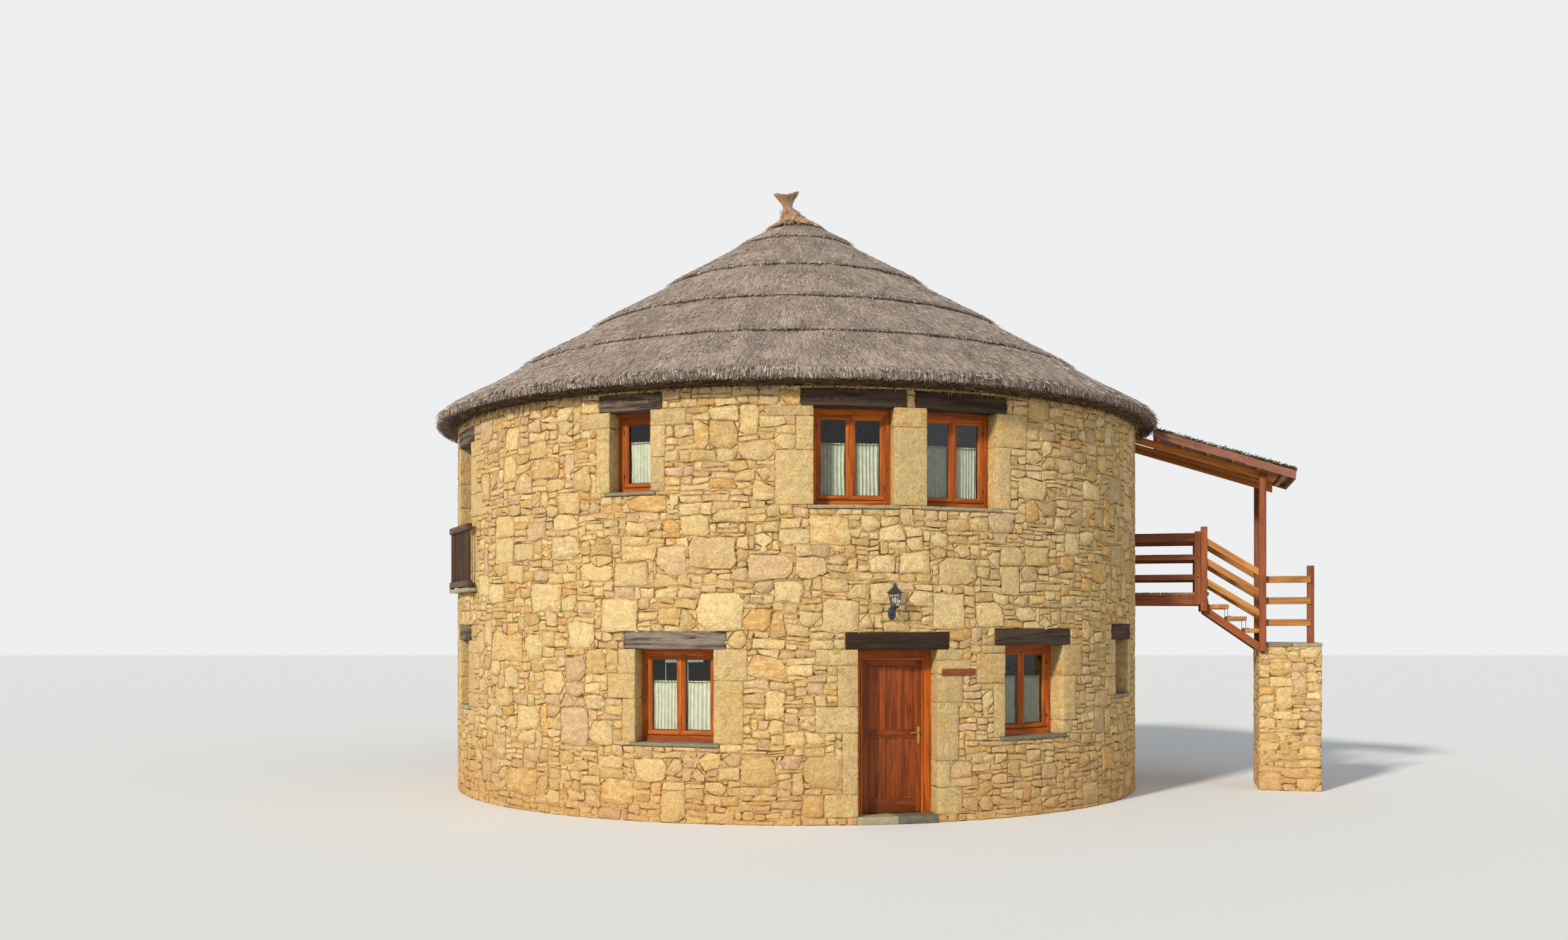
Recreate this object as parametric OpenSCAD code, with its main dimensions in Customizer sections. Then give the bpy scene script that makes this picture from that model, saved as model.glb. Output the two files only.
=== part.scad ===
// Two-storey rondavel hut: a round rubble wall with two floors, a conical
// thatched roof laid in courses, timber windows under oak lintels, a boarded
// front door, a French window with a small railing, and a covered timber
// landing whose steps come down on a masonry abutment.
// Units are millimetres. The axis of the hut is Z, its front faces -Y and
// every foot of masonry stands at z = 0. Angles run from the front (-Y)
// towards the landing side (+X).

/* [Round wall] */
// outside diameter of the wall
wall_d = 10800; // [9000:100:12600]
// thickness of the rubble wall
wall_t = 550; // [400:10:700]
// thickness of the ground floor slab
ground_t = 100; // [60:10:100]
// walking level of the upper floor
upper_z = 3050; // [2900:10:3300]
// height of the wall head above the upper floor
upper_wall_h = 2490; // [2400:10:2700]
// thickness of the upper floor boards
board_t = 50; // [30:5:80]
// depth and width of the beams under the upper floor
joist = 140; // [100:10:180]

/* [Openings] */
// width of the upper windows with two casements
upper_window_w = 1050; // [900:10:1080]
// height of the upper windows with two casements
upper_window_h = 1250; // [1000:10:1300]
// wall left above the openings of the upper floor
upper_head_drop = 250; // [240:10:300]
// width of the lower windows with two casements
lower_window_w = 1090; // [900:10:1120]
// height of the lower windows with two casements
lower_window_h = 1200; // [1000:10:1300]
// height of the lower window sills
lower_sill_z = 1020; // [900:10:1100]
// depth from the wall face to the window frames
reveal = 250; // [180:10:320]
// height of the oak lintels
lintel_h = 220; // [160:10:240]
// how far each lintel bears on the wall beyond its opening
lintel_bear = 155; // [100:5:160]
// depth of the lintels from the wall face
lintel_t = 340; // [330:5:340]
// thickness of the slate sills
sill_t = 45; // [30:5:60]
// how far the sills stand out from the wall face
sill_out = 30; // [0:5:60]
// face width of the window frames
frame_w = 80; // [60:5:90]
// depth of the window frames
frame_t = 70; // [60:5:90]
// face width of the casement stiles and rails
stile_w = 60; // [45:1:70]
// thickness of the casements
casement_t = 44; // [38:2:54]
// thickness of the panes
pane_t = 6; // [4:1:12]
// part of a casement's height that its half curtain covers
curtain_share = 0.66; // [0.4:0.01:0.7]

/* [Front door] */
// direction that the front door faces, in degrees from the front
door_a = 13.55; // [12:0.05:15]
// width of the doorway
door_w = 1075; // [1000:5:1080]
// height of the doorway above the threshold
door_h = 2115; // [2050:5:2120]
// face width of the door frame
door_frame_w = 125; // [80:5:140]
// thickness of the leaf
leaf_t = 46; // [40:2:56]
// working gap round the leaf
leaf_gap = 6; // [5:1:8]
// height of the lever handle above the threshold
lever_z = 1000; // [950:10:1060]

/* [Roof] */
// how far the thatch reaches past the wall face
eave_out = 300; // [280:5:340]
// height of the thatch surface at the eave, above the wall head
eave_rise = 170; // [165:1:180]
// rise of the roof for each unit of run
pitch = 0.628; // [0.62:0.002:0.64]
// thickness of the thatch, measured upright
thatch_t = 320; // [280:10:340]
// height of the step at each course
course_step = 55; // [30:5:70]
// radius of the straw roll under the eave
roll_r = 120; // [100:5:130]
// diameter of the rafter poles
rafter_d = 100; // [80:5:110]
// number of rafter poles
rafters = 20; // [16:1:24]

/* [Balcony] */
// width of the balcony in front of the French window
balcony_w = 1360; // [1200:10:1500]
// how far the balcony stands out from the wall face
balcony_out = 110; // [90:5:160]
// height of the balcony railing
balcony_rail_h = 930; // [850:10:1050]
// side of the square balusters
baluster = 28; // [22:1:36]
// number of balusters
balusters = 11; // [7:1:13]

/* [Landing] */
// turn of the landing away from the X axis, in degrees
bridge_a = -15; // [-20:1:-10]
// distance from the wall face to the post at the head of the steps
landing_len = 1040; // [1000:5:1080]
// near side of the landing
near_y = 340; // [320:5:360]
// width of the landing
bridge_w = 1100; // [1000:10:1160]
// drop from the upper floor to the landing
deck_drop = 10; // [0:5:20]
// number of treads between the landing and the abutment
treads = 3; // [3:1:3]
// level step of the stair
going = 262; // [255:1:265]
// height step of the stair
rise = 187; // [180:1:190]
// height step from the abutment to the lowest tread
last_rise = 219; // [200:1:230]
// thickness of the treads
tread_t = 68; // [50:2:80]
// side of the square posts
post = 100; // [90:5:110]
// height of the rails
rail_h = 105; // [80:5:120]

/* [Canopy] */
// slope of the canopy roof in degrees
canopy_slope = 18.3; // [17.5:0.1:19]
// depth of the near beam
beam_h = 110; // [90:5:120]
// thickness of the canopy beams
beam_t = 70; // [60:5:80]
// drop from the wall head to the near beam's top edge at the tall post
beam_drop = 665; // [650:5:690]
// how far the canopy roof reaches past the tall post
canopy_out = 430; // [380:10:460]
// depth of the verge boards
verge_h = 125; // [100:5:140]

/* [Hidden] */
$fn = 96;
round_fn = 360;

oak = [0.23, 0.17, 0.12];
stained = [0.52, 0.26, 0.11];
post_brown = [0.42, 0.22, 0.13];
verge_brown = [0.45, 0.30, 0.27];
pale_wood = [0.66, 0.44, 0.22];
granite = [0.72, 0.60, 0.42];
slate = [0.42, 0.42, 0.38];
straw = [0.45, 0.39, 0.31];
pale_straw = [0.70, 0.60, 0.42];
cloth = [0.93, 0.91, 0.85];
clear = [0.20, 0.24, 0.27, 0.5];
bronze = [0.62, 0.47, 0.20];
iron = [0.20, 0.20, 0.21];
moss = [0.34, 0.33, 0.20];

wall_r = wall_d / 2;
room_r = wall_r - wall_t;
wall_h = upper_z + upper_wall_h;
e = 1;
// hairline left between pieces that only touch, so that none overlap
seam = 0.4;
sill_side = 70;
upper_head_z = wall_h - upper_head_drop;
upper_sill_z = upper_head_z - upper_window_h;
lower_head_z = lower_sill_z + lower_window_h;

// Each window: angle, width, sill height, head height, number of casements
upper_windows = [
    [-23.9, 620, upper_sill_z + 200, upper_head_z, 1],
    for (a = [7.4, 23.1, 130, 180, 230])
        [a, upper_window_w, upper_sill_z, upper_head_z, 2]
];
lower_windows = [
    [-66.3, 580, lower_sill_z + 320, lower_head_z + 90, 1],
    [35.8, lower_window_w + 10, lower_sill_z + 40, lower_head_z + 40, 2],
    [61.3, 660, lower_sill_z + 510, lower_head_z + 105, 1],
    for (a = [-17.3, 150, 205, 250])
        [a, lower_window_w, lower_sill_z, lower_head_z, 2]
];
windows = concat(upper_windows, lower_windows);

// The two tall openings that aren't the front door: angle, width, floor, head
french = [-66, 800, upper_z + 20, upper_head_z - 90];
side_door = [84.5, 960, upper_z, upper_head_z - 140];

door_z = ground_t;
door_head = door_z + door_h;
front_door = [door_a, door_w, door_z, door_head];
tall = [french, side_door, front_door];
door_y = -wall_r + reveal + 30;
jamb_t = leaf_t + 20;
leaf_w = door_w - 2 * door_frame_w - 2 * leaf_gap;
leaf_z = door_z + 12;
leaf_h = door_h - door_frame_w - leaf_gap - 12;
leaf_y = door_y + jamb_t - leaf_t;
knuckle_r = 11;
pin_r = 6;
pivot_x = -leaf_w / 2 - leaf_gap / 2;
pivot_y = leaf_y + leaf_t + knuckle_r + 0.3;

frame_y = -wall_r + reveal;

// The wall is split beside and over the front door and at even angles round
// the back, so that each piece stays a simple segment
seam_a = seam / 2 / wall_r * 180 / PI;
door_half = asin(door_w / 2 / wall_r);
left_edge = door_a - door_half;
right_edge = door_a + door_half;

eave_r = wall_r + eave_out;
apex_z = wall_h + eave_rise + pitch * eave_r;

// Thatch courses: the radius where each one ends, from the eave up
course_rs = [for (share = [1, 0.791, 0.586, 0.374, 0.167, 0.047]) share * eave_r];
lap = 130;

head_post_x = wall_r + landing_len;
deck_z = upper_z - deck_drop;
coping_z = deck_z - treads * rise - last_rise;
bridge_end = head_post_x + post / 2;
tall_post_x = head_post_x + treads * going + 74;
beam_top = wall_h - beam_drop;
far_y = near_y + bridge_w;
abut_x = tall_post_x - post / 2;
abut_len = 900;
coping_t = 60;
fence_x = tall_post_x + 700;
canopy_low = tall_post_x + canopy_out;
canopy_high = eave_r - 20;
near_beam_y = near_y;
far_beam_y = far_y - beam_t;
purlin_d = 75;
canopy_board_t = 25;
canopy_cover_t = 50;
slope_t = tan(canopy_slope);

// Turns a piece that was drawn facing the front to the direction it faces
module facing(angle) {
    rotate([0, 0, angle]) children();
}

module landing_side() {
    rotate([0, 0, bridge_a]) children();
}

// A box centred on the middle of an opening, through the whole wall
module opening_box(o, from_z, to_z, grow = 0) {
    facing(o[0])
        translate([-o[1] / 2 - grow, -wall_r - 100, from_z])
            cube([o[1] + 2 * grow, wall_t + 200, to_z - from_z]);
}

module ring_piece(from_a, to_a, from_z, r_in, r_out, h) {
    translate([0, 0, from_z]) rotate([0, 0, from_a - 90])
        rotate_extrude(angle = to_a - from_a, $fn = round_fn)
            translate([r_in, 0])
                square([r_out - r_in, h]);
}

module round_slab(r, z, h) {
    translate([0, 0, z]) cylinder(r = r, h = h, $fn = round_fn);
}

module lintel_box(o) {
    facing(o[0])
        translate([-o[1] / 2 - lintel_bear, -wall_r - 100, o[3]])
            cube([o[1] + 2 * lintel_bear, 100 + lintel_t, lintel_h]);
}

// A beam over an opening, with its face curved like the wall
module lintel(o) {
    intersection() {
        lintel_box(o);
        round_slab(wall_r + 8, o[3] - e, lintel_h + 2 * e);
    }
}

module sill_box(o) {
    facing(o[0])
        translate([-o[1] / 2 - sill_side, -wall_r - 200, o[2] - sill_t])
            cube([o[1] + 2 * sill_side, 200 + reveal + frame_t, sill_t]);
}

module sill_slab(o) {
    intersection() {
        sill_box(o);
        round_slab(wall_r + sill_out, o[2] - sill_t - e, sill_t + 2 * e);
    }
}

module wall_segment(from_a, to_a, from_z = 0) {
    difference() {
        ring_piece(from_a + seam_a, to_a - seam_a, from_z, room_r, wall_r, wall_h - from_z);
        for (o = windows) {
            opening_box(o, o[2], o[3] + e);
            sill_box(o);
            lintel_box(o);
        }
        for (o = tall) {
            opening_box(o, o[2], o[3] + e);
            lintel_box(o);
        }
        opening_box(front_door, -e, door_z + e);
        // seats of the landing bearers and the canopy beams
        landing_side() bearers();
        landing_side() beam_pair();
    }
}

module ground_floor() {
    color(slate) round_slab(room_r - seam, 0, ground_t);
}

module upper_floor() {
    color(pale_wood) {
        round_slab(room_r - seam, upper_z - board_t, board_t);
        intersection() {
            for (i = [-3 : 3])
                translate([i * room_r * 0.268 - joist / 2, -room_r, upper_z - board_t - joist])
                    cube([joist, 2 * room_r, joist]);
            round_slab(room_r - seam, upper_z - board_t - joist, joist);
        }
    }
}

module wall_front_left() {
    color(granite) wall_segment(-48, left_edge);
}

module wall_over_door() {
    color(granite) wall_segment(left_edge, right_edge, door_head + lintel_h / 2);
}

module wall_front_right() {
    color(granite) wall_segment(right_edge, 50);
}

module wall_right() {
    color(granite) wall_segment(50, 105);
}

module wall_back_right() {
    color(granite) wall_segment(105, 167);
}

module wall_back() {
    color(granite) wall_segment(167, 240);
}

module wall_left() {
    color(granite) wall_segment(240, 312);
}

module lintels() {
    color(oak) {
        for (o = windows) lintel(o);
        for (o = tall) lintel(o);
    }
}

// The window sills and the threshold of the front door
module sills() {
    color(slate) {
        for (o = windows) sill_slab(o);
        difference() {
            intersection() {
                opening_box(front_door, 0, door_z);
                round_slab(wall_r + sill_out, -e, door_z + 2 * e);
            }
            round_slab(room_r, -e, door_z + 2 * e);
        }
    }
}

// A frame of rectangular section, standing on z = 0 and centred on x = 0
module timber_frame(w, h, face, depth, bottom = true) {
    difference() {
        translate([-w / 2, 0, 0]) cube([w, depth, h]);
        translate([-w / 2 + face, -e, bottom ? face : -e])
            cube([w - 2 * face, depth + 2 * e, h - face - (bottom ? face : -e)]);
    }
}

module at_opening(o, y) {
    facing(o[0]) translate([0, y, o[2]]) children();
}

// Places its children at the middle of each casement of a window
module each_casement(o) {
    n = o[4];
    leaf = (o[1] - 2 * frame_w) / n;
    at_opening(o, frame_y + 12)
        for (i = [0 : n - 1])
            translate([(i - (n - 1) / 2) * leaf, 0, frame_w]) children();
}

function leaf_of(o) = (o[1] - 2 * frame_w) / o[4];
function leaf_height(o) = o[3] - o[2] - 2 * frame_w;

module window_frames() {
    color(stained)
        for (o = windows)
            at_opening(o, frame_y)
                timber_frame(o[1], o[3] - o[2], frame_w, frame_t);
}

module casements() {
    color(stained)
        for (o = windows)
            each_casement(o)
                timber_frame(leaf_of(o), leaf_height(o), stile_w, casement_t);
}

module pane(w, h) {
    translate([-w / 2, 0, 0]) cube([w, pane_t, h]);
}

module window_panes() {
    color(clear) {
        for (o = windows)
            each_casement(o)
                translate([0, casement_t / 2, stile_w])
                    pane(leaf_of(o) - 2 * stile_w, leaf_height(o) - 2 * stile_w);
        at_opening(french, frame_y + 12)
            for (s = [-1, 1])
                translate([s * french_leaf / 2, casement_t / 2, french_panel])
                    pane(french_leaf - 2 * stile_w,
                         french_h - french_panel - stile_w - frame_w);
    }
}

// The two small lower windows have no curtains
curtained = [for (o = windows) if (o[4] == 2 || o[3] > upper_z) o];
rod_r = 5;

// Half curtains, each hanging from a thin rod across its casement
module curtains() {
    for (o = curtained)
        each_casement(o) {
            color(bronze)
                translate([-leaf_of(o) / 2 + stile_w - 15, casement_t + rod_r,
                           leaf_height(o) * curtain_share])
                    rotate([0, 90, 0])
                        cylinder(r = rod_r, h = leaf_of(o) - 2 * stile_w + 30, $fn = 24);
            color(cloth)
                translate([-leaf_of(o) / 2 + stile_w, casement_t + 0.3, stile_w])
                    cube([leaf_of(o) - 2 * stile_w, 14,
                          leaf_height(o) * curtain_share - stile_w]);
        }
}

french_h = french[3] - french[2];
french_leaf = (french[1] - 2 * frame_w) / 2;
french_panel = 600;

module french_window() {
    color(stained) at_opening(french, frame_y) {
        timber_frame(french[1], french_h, frame_w, frame_t, false);
        for (s = [-1, 1])
            translate([s * french_leaf / 2, 12, 0]) {
                difference() {
                    translate([-french_leaf / 2, 0, 0])
                        cube([french_leaf, casement_t, french_h - frame_w]);
                    translate([-french_leaf / 2 + stile_w, -e, french_panel])
                        cube([french_leaf - 2 * stile_w, casement_t + 2 * e,
                              french_h - french_panel - stile_w - frame_w]);
                    translate([-french_leaf / 2 + stile_w, -e, stile_w + 40])
                        cube([french_leaf - 2 * stile_w, 12 + e,
                              french_panel - 2 * stile_w - 40]);
                }
            }
    }
}

module balcony_slab() {
    color(slate) difference() {
        at_opening(french, 0)
            translate([-balcony_w / 2, -wall_r - balcony_out, -55])
                cube([balcony_w, balcony_out + 200, 55]);
        round_slab(wall_r + seam, french[2] - 56, 57);
    }
}

module balcony_railing() {
    color(oak) at_opening(french, -wall_r - balcony_out + 5) {
        for (z = [18, balcony_rail_h - 95])
            translate([-balcony_w / 2, 0, z]) cube([balcony_w, 70, z < 100 ? 90 : 95]);
        for (i = [0 : balusters - 1])
            translate([-balcony_w / 2 + 40 + i * (balcony_w - 80) / (balusters - 1)
                       - baluster / 2, 21, 100])
                cube([baluster, baluster, balcony_rail_h - 190]);
        for (s = [-1, 1])
            translate([s * (balcony_w / 2 - 30) - 30, 5, 0])
                cube([60, 60, 30]);
    }
}

module door_frames() {
    color(stained) at_opening(side_door, frame_y)
        timber_frame(side_door[1], side_door[3] - side_door[2], door_frame_w, jamb_t, false);
    color(stained) at_opening(front_door, door_y) {
        timber_frame(door_w, door_h, door_frame_w, jamb_t, false);
        // stop strip that hides the working gap
        timber_frame(door_w - 2 * door_frame_w + 20, door_h - door_frame_w + 10, 24, 14,
                     false);
    }
    color(iron) for (z = hinge_zs) frame_hinge(z);
}

hinge_zs = [leaf_z + 220, leaf_z + leaf_h - 320];
knuckle_h = 34;

// The frame's half of a hinge: two knuckles on a plate, and the pin
module frame_hinge(z) {
    facing(door_a) translate([pivot_x, pivot_y, z]) {
        for (k = [0, 2]) translate([0, 0, k * knuckle_h])
            cylinder(r = knuckle_r, h = knuckle_h - 0.3, $fn = 32);
        cylinder(r = pin_r, h = 3 * knuckle_h, $fn = 32);
        for (k = [0, 2]) translate([-50, -knuckle_r - 2.3, k * knuckle_h])
            cube([46, 6, knuckle_h - 0.3]);
    }
}

// The leaf's half: one knuckle round the pin, on a plate
module leaf_hinge(z) {
    facing(door_a) translate([pivot_x, pivot_y, z + knuckle_h])
        difference() {
            union() {
                cylinder(r = knuckle_r, h = knuckle_h - 0.3, $fn = 32);
                translate([4, -knuckle_r - 2.3, 0]) cube([46, 6, knuckle_h - 0.3]);
            }
            translate([0, 0, -e]) cylinder(r = pin_r + 0.1, h = knuckle_h + 2, $fn = 32);
        }
}

door_stile = 85;
muntin_w = 80;
foot_rail_h = 182;
mid_rail_z = 956;
mid_rail_h = 100;
panel_sink = 10;

// A framed leaf with six sunk panels, standing on z = 0 and centred on x = 0
module panelled_leaf(w, h, t) {
    panel_w = (w - 2 * door_stile - 2 * muntin_w) / 3;
    difference() {
        translate([-w / 2, 0, 0]) cube([w, t, h]);
        for (i = [-1 : 1], p = [[foot_rail_h, mid_rail_z],
                                [mid_rail_z + mid_rail_h, h - door_stile]])
            translate([i * (panel_w + muntin_w) - panel_w / 2, -e, p[0]])
                cube([panel_w, panel_sink + e, p[1] - p[0]]);
    }
}

module front_door_leaf() {
    color(stained) facing(door_a) translate([0, leaf_y, leaf_z])
        panelled_leaf(leaf_w, leaf_h, leaf_t);
    color(iron) for (z = hinge_zs) leaf_hinge(z);
}

// Backplates, spindle and lever of a door handle, on both faces of a leaf
module lever_set(t) {
    for (y = [-6, t])
        translate([-21, y, -110]) cube([42, 6, 220]);
    translate([0, -46, 40]) rotate([-90, 0, 0]) cylinder(r = 9, h = 46 - 6, $fn = 24);
    translate([0, t + 6, 40]) rotate([-90, 0, 0]) cylinder(r = 9, h = 40, $fn = 24);
    for (y = [-46, t + 36])
        translate([-115, y, 31]) cube([124, 12, 18]);
}

module front_door_handle() {
    color(bronze) facing(door_a)
        translate([leaf_w / 2 - door_stile / 2, leaf_y, door_z + lever_z])
            lever_set(leaf_t);
}

module side_door_leaf() {
    w = side_door[1] - 2 * door_frame_w;
    h = side_door[3] - side_door[2] - door_frame_w;
    at_opening(side_door, frame_y + jamb_t - leaf_t) {
        color(stained) panelled_leaf(w, h, leaf_t);
        color(bronze) translate([w / 2 - door_stile / 2, 0, lever_z])
            lever_set(leaf_t);
    }
}

function cone_z(r) = apex_z - pitch * r;

pitch_a = atan(pitch);
foot_r = wall_r - 230;
head_r = 430;
// height of the rafters' centre lines under the thatch
function rafter_z(r) = cone_z(r) - thatch_t - 0.3 - rafter_d / 2 / cos(pitch_a);

// Ring on the wall head, bevelled to the slope of the rafters
module wall_plate() {
    r0 = foot_r - 140;
    r1 = foot_r + 25;
    color(oak) rotate_extrude($fn = round_fn) polygon([
        [r0, wall_h + seam],
        [r1, wall_h + seam],
        [r1, rafter_z(r1) - rafter_d / 2 / cos(pitch_a)],
        [r0, rafter_z(r0) - rafter_d / 2 / cos(pitch_a)]
    ]);
}

// Round poles from the wall plate to the crown block
module rafters() {
    color(oak)
        for (i = [0 : rafters - 1])
            facing(i * 360 / rafters + 9)
                translate([0, -foot_r, rafter_z(foot_r)])
                    rotate([-90 + pitch_a, 0, 0])
                        cylinder(d = rafter_d, h = (foot_r - head_r) / cos(pitch_a), $fn = 24);
}

// Block that the rafter heads butt against, square to their length
module crown_block() {
    half = rafter_d / 2 + 20;
    color(oak) rotate_extrude() polygon([
        [0, rafter_z(head_r) - half * cos(pitch_a)],
        [head_r - half * sin(pitch_a), rafter_z(head_r) - half * cos(pitch_a)],
        [head_r + 48 * sin(pitch_a), rafter_z(head_r) + 48 * cos(pitch_a)],
        [0, rafter_z(head_r) + 48 * cos(pitch_a)]
    ]);
}

module eave_roll() {
    color(pale_straw)
        translate([0, 0, wall_h + roll_r])
            rotate_extrude($fn = round_fn) translate([wall_r + 15, 0]) circle(r = roll_r, $fn = 32);
}

// One ring of thatch between two radii. Its lower edge lies on the course
// below and its upper edge runs in under the course above.
module course_ring(r_out, r_in, lip) {
    low = course_step * 0.7;
    rise_up = course_step * 0.3;
    rotate_extrude($fn = round_fn) polygon([
        [r_out, cone_z(r_out) - low],
        [r_out + 6, cone_z(r_out) - low + 18],
        [r_out - 10, cone_z(r_out) + rise_up - 6],
        [r_out - 60, cone_z(r_out - 60) + rise_up],
        [r_in, cone_z(r_in) - low],
        [r_in - lip, cone_z(r_in - lip) - low],
        [r_in - lip, cone_z(r_in - lip) - thatch_t],
        [r_out - lap, cone_z(r_out - lap) - thatch_t],
        [r_out - lap, cone_z(r_out - lap) - low]
    ]);
}

// The lowest course has the rounded eave nose and rests on the straw roll
module thatch_course_1() {
    low = course_step * 0.7;
    rise_up = course_step * 0.3;
    roll_x = wall_r + 15;
    roll_z = wall_h + roll_r;
    color(straw) rotate_extrude($fn = round_fn) polygon([
        [eave_r - 40, wall_h + 48],
        [eave_r + 2, wall_h + 72],
        [eave_r + 12, roll_z],
        [eave_r - 25, cone_z(eave_r - 25) + 2],
        [eave_r - 150, cone_z(eave_r - 150) + rise_up],
        [course_rs[1], cone_z(course_rs[1]) - low],
        [course_rs[1] - lap, cone_z(course_rs[1] - lap) - low],
        [course_rs[1] - lap, cone_z(course_rs[1] - lap) - thatch_t],
        [wall_r - 160, cone_z(wall_r - 160) - thatch_t],
        for (a = [150 : -10 : 0])
            [roll_x + (roll_r + 1) * cos(a), roll_z + (roll_r + 1) * sin(a)],
        [roll_x + roll_r + 1, roll_z - 40]
    ]);
}

module thatch_course_2() {
    color(straw) course_ring(course_rs[1], course_rs[2], lap);
}

module thatch_course_3() {
    color(straw) course_ring(course_rs[2], course_rs[3], lap);
}

module thatch_course_4() {
    color(straw) course_ring(course_rs[3], course_rs[4], lap);
}

module thatch_course_5() {
    color(straw) course_ring(course_rs[4], course_rs[5], 60);
}

// The straw gathered over the point of the roof and tied in a leaning tuft
module roof_tuft() {
    r0 = course_rs[5];
    core = r0 - 60 - 0.3;
    low = course_step * 0.7;
    color(straw) {
        rotate_extrude($fn = round_fn) polygon([
            [0, cone_z(core) - thatch_t],
            [core, cone_z(core) - thatch_t],
            [core, cone_z(core) - low],
            [r0, cone_z(r0) - low],
            [r0 + 5, cone_z(r0) - low + 18],
            [r0 - 12, cone_z(r0) + 12],
            [150, cone_z(150) + 18],
            [0, cone_z(0)]
        ]);
        translate([-105, 0, cone_z(0) - 130]) rotate([0, -6, 0])
            rotate_extrude() polygon([
                [0, -60], [92, -60], [92, 0], [158, 60], [136, 120], [118, 180], [106, 240],
                [112, 290], [146, 360], [186, 420], [120, 470], [0, 440]
            ]);
    }
}

// Height of the top of the near beam at a distance from the hut axis
function beam_z(x) = beam_top + (tall_post_x - x) * slope_t;

// A level-sided member that follows the canopy slope, from x0 to x1
module sloped(x0, x1, y, w, top_off, h) {
    translate([0, y + w, 0]) rotate([90, 0, 0]) linear_extrude(height = w)
        polygon([[x0, beam_z(x0) + top_off], [x1, beam_z(x1) + top_off],
                 [x1, beam_z(x1) + top_off - h], [x0, beam_z(x0) + top_off - h]]);
}

module beam_pair() {
    x0 = wall_r - 90;
    x1 = tall_post_x + 220;
    translate([0, near_beam_y + beam_t, 0]) rotate([90, 0, 0])
        linear_extrude(height = beam_t)
            polygon([[x0, beam_z(x0)], [x1, beam_z(x1)],
                     [x1, beam_z(x1) - beam_h * 0.6], [x1 - 60, beam_z(x1 - 60) - beam_h],
                     [x0, beam_z(x0) - beam_h]]);
    sloped(x0 - 170, x1, far_beam_y, beam_t, -65, beam_h * 0.75);
    sloped(x0 + 60, x1, far_beam_y, beam_t, 0, beam_h * 0.75);
}

module canopy_beams() {
    color(pale_wood) landing_side() beam_pair();
}

module canopy_posts() {
    color(post_brown) landing_side() {
        translate([tall_post_x - post / 2, near_y - post, coping_z - 130])
            cube([post, post, beam_z(tall_post_x + post / 2) - coping_z + 130]);
        translate([tall_post_x - post / 2, far_y, coping_z])
            cube([post, post, beam_z(tall_post_x + post / 2) - coping_z]);
    }
}

canopy_y0 = near_y - 290;
canopy_y1 = far_y + 290;

module canopy_purlins() {
    color(pale_wood) landing_side()
        for (i = [0 : 5]) {
            x = canopy_high + 80 + i * (canopy_low - canopy_high - 200) / 5;
            translate([x, canopy_y0 + 28, beam_z(x) + purlin_d / 2 / cos(canopy_slope)])
                rotate([-90, 0, 0])
                    cylinder(d = purlin_d, h = canopy_y1 - canopy_y0 - 56, $fn = 24);
        }
}

board_up = purlin_d / cos(canopy_slope) + canopy_board_t;

module canopy_boards() {
    color(pale_wood) landing_side()
        sloped(canopy_high, canopy_low, canopy_y0 + 28, canopy_y1 - canopy_y0 - 56,
               board_up, canopy_board_t);
}

module verge_boards() {
    split = canopy_low - 700;
    color(verge_brown) landing_side() {
        for (y = [canopy_y0, canopy_y1 - 28]) {
            sloped(canopy_high, split + 40, y, 28, board_up + 35, verge_h);
            sloped(split, canopy_low + 28, y < 1000 ? y - 22 : y + 28, 22, board_up + 25,
                   verge_h);
        }
        sloped(canopy_low, canopy_low + 28, canopy_y0, canopy_y1 - canopy_y0,
               board_up + 20, verge_h);
    }
}

module canopy_cover() {
    color(moss) landing_side()
        sloped(canopy_high, canopy_low - 10, canopy_y0 + 40, canopy_y1 - canopy_y0 - 80,
               board_up + canopy_cover_t, canopy_cover_t - seam);
}

deck_t = 45;
tread_in = 35;
tread_w = 285;
stringer_h = 135;
bearer_h = 150;
bearer_w = 70;

module bearers() {
    for (y = [near_y, far_y - bearer_w])
        translate([wall_r - 420, y, deck_z - deck_t - bearer_h])
            cube([bridge_end - wall_r + 420, bearer_w, bearer_h]);
}

module landing_deck() {
    x0 = wall_r - 330;
    boards = floor((bridge_end + 25 - x0) / 145);
    color(pale_wood) difference() {
        landing_side()
            for (i = [0 : boards - 1])
                translate([bridge_end + 25 - (i + 1) * 145 + 6, near_y + 1, deck_z - deck_t])
                    cube([139, bridge_w - 2, deck_t]);
        round_slab(wall_r + seam, deck_z - deck_t - e, deck_t + 2 * e);
    }
}

module stringer(y) {
    x0 = bridge_end;
    x1 = abut_x;
    m = rise / going;
    top_z = deck_z - rise - tread_t - 0.3;
    translate([0, y + bearer_w, 0]) rotate([90, 0, 0]) linear_extrude(height = bearer_w)
        polygon([[x0 - 60, deck_z - deck_t - 20], [x0, deck_z - deck_t - 20],
                 [x0 + tread_in, top_z], [x1, top_z - m * (x1 - x0 - tread_in)],
                 [x1, top_z - m * (x1 - x0 - tread_in) - stringer_h],
                 [x0 - 60, top_z + m * (60 + tread_in) - stringer_h]]);
}

module landing_frame() {
    color(post_brown) landing_side() {
        bearers();
        for (y = [near_y, far_y - bearer_w]) stringer(y);
        for (x = [wall_r + 120, (wall_r + bridge_end) / 2 + 60, bridge_end - 90])
            translate([x, near_y + bearer_w, deck_z - deck_t - bearer_h + 20])
                cube([60, bridge_w - 2 * bearer_w, bearer_h - 20]);
    }
}

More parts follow.
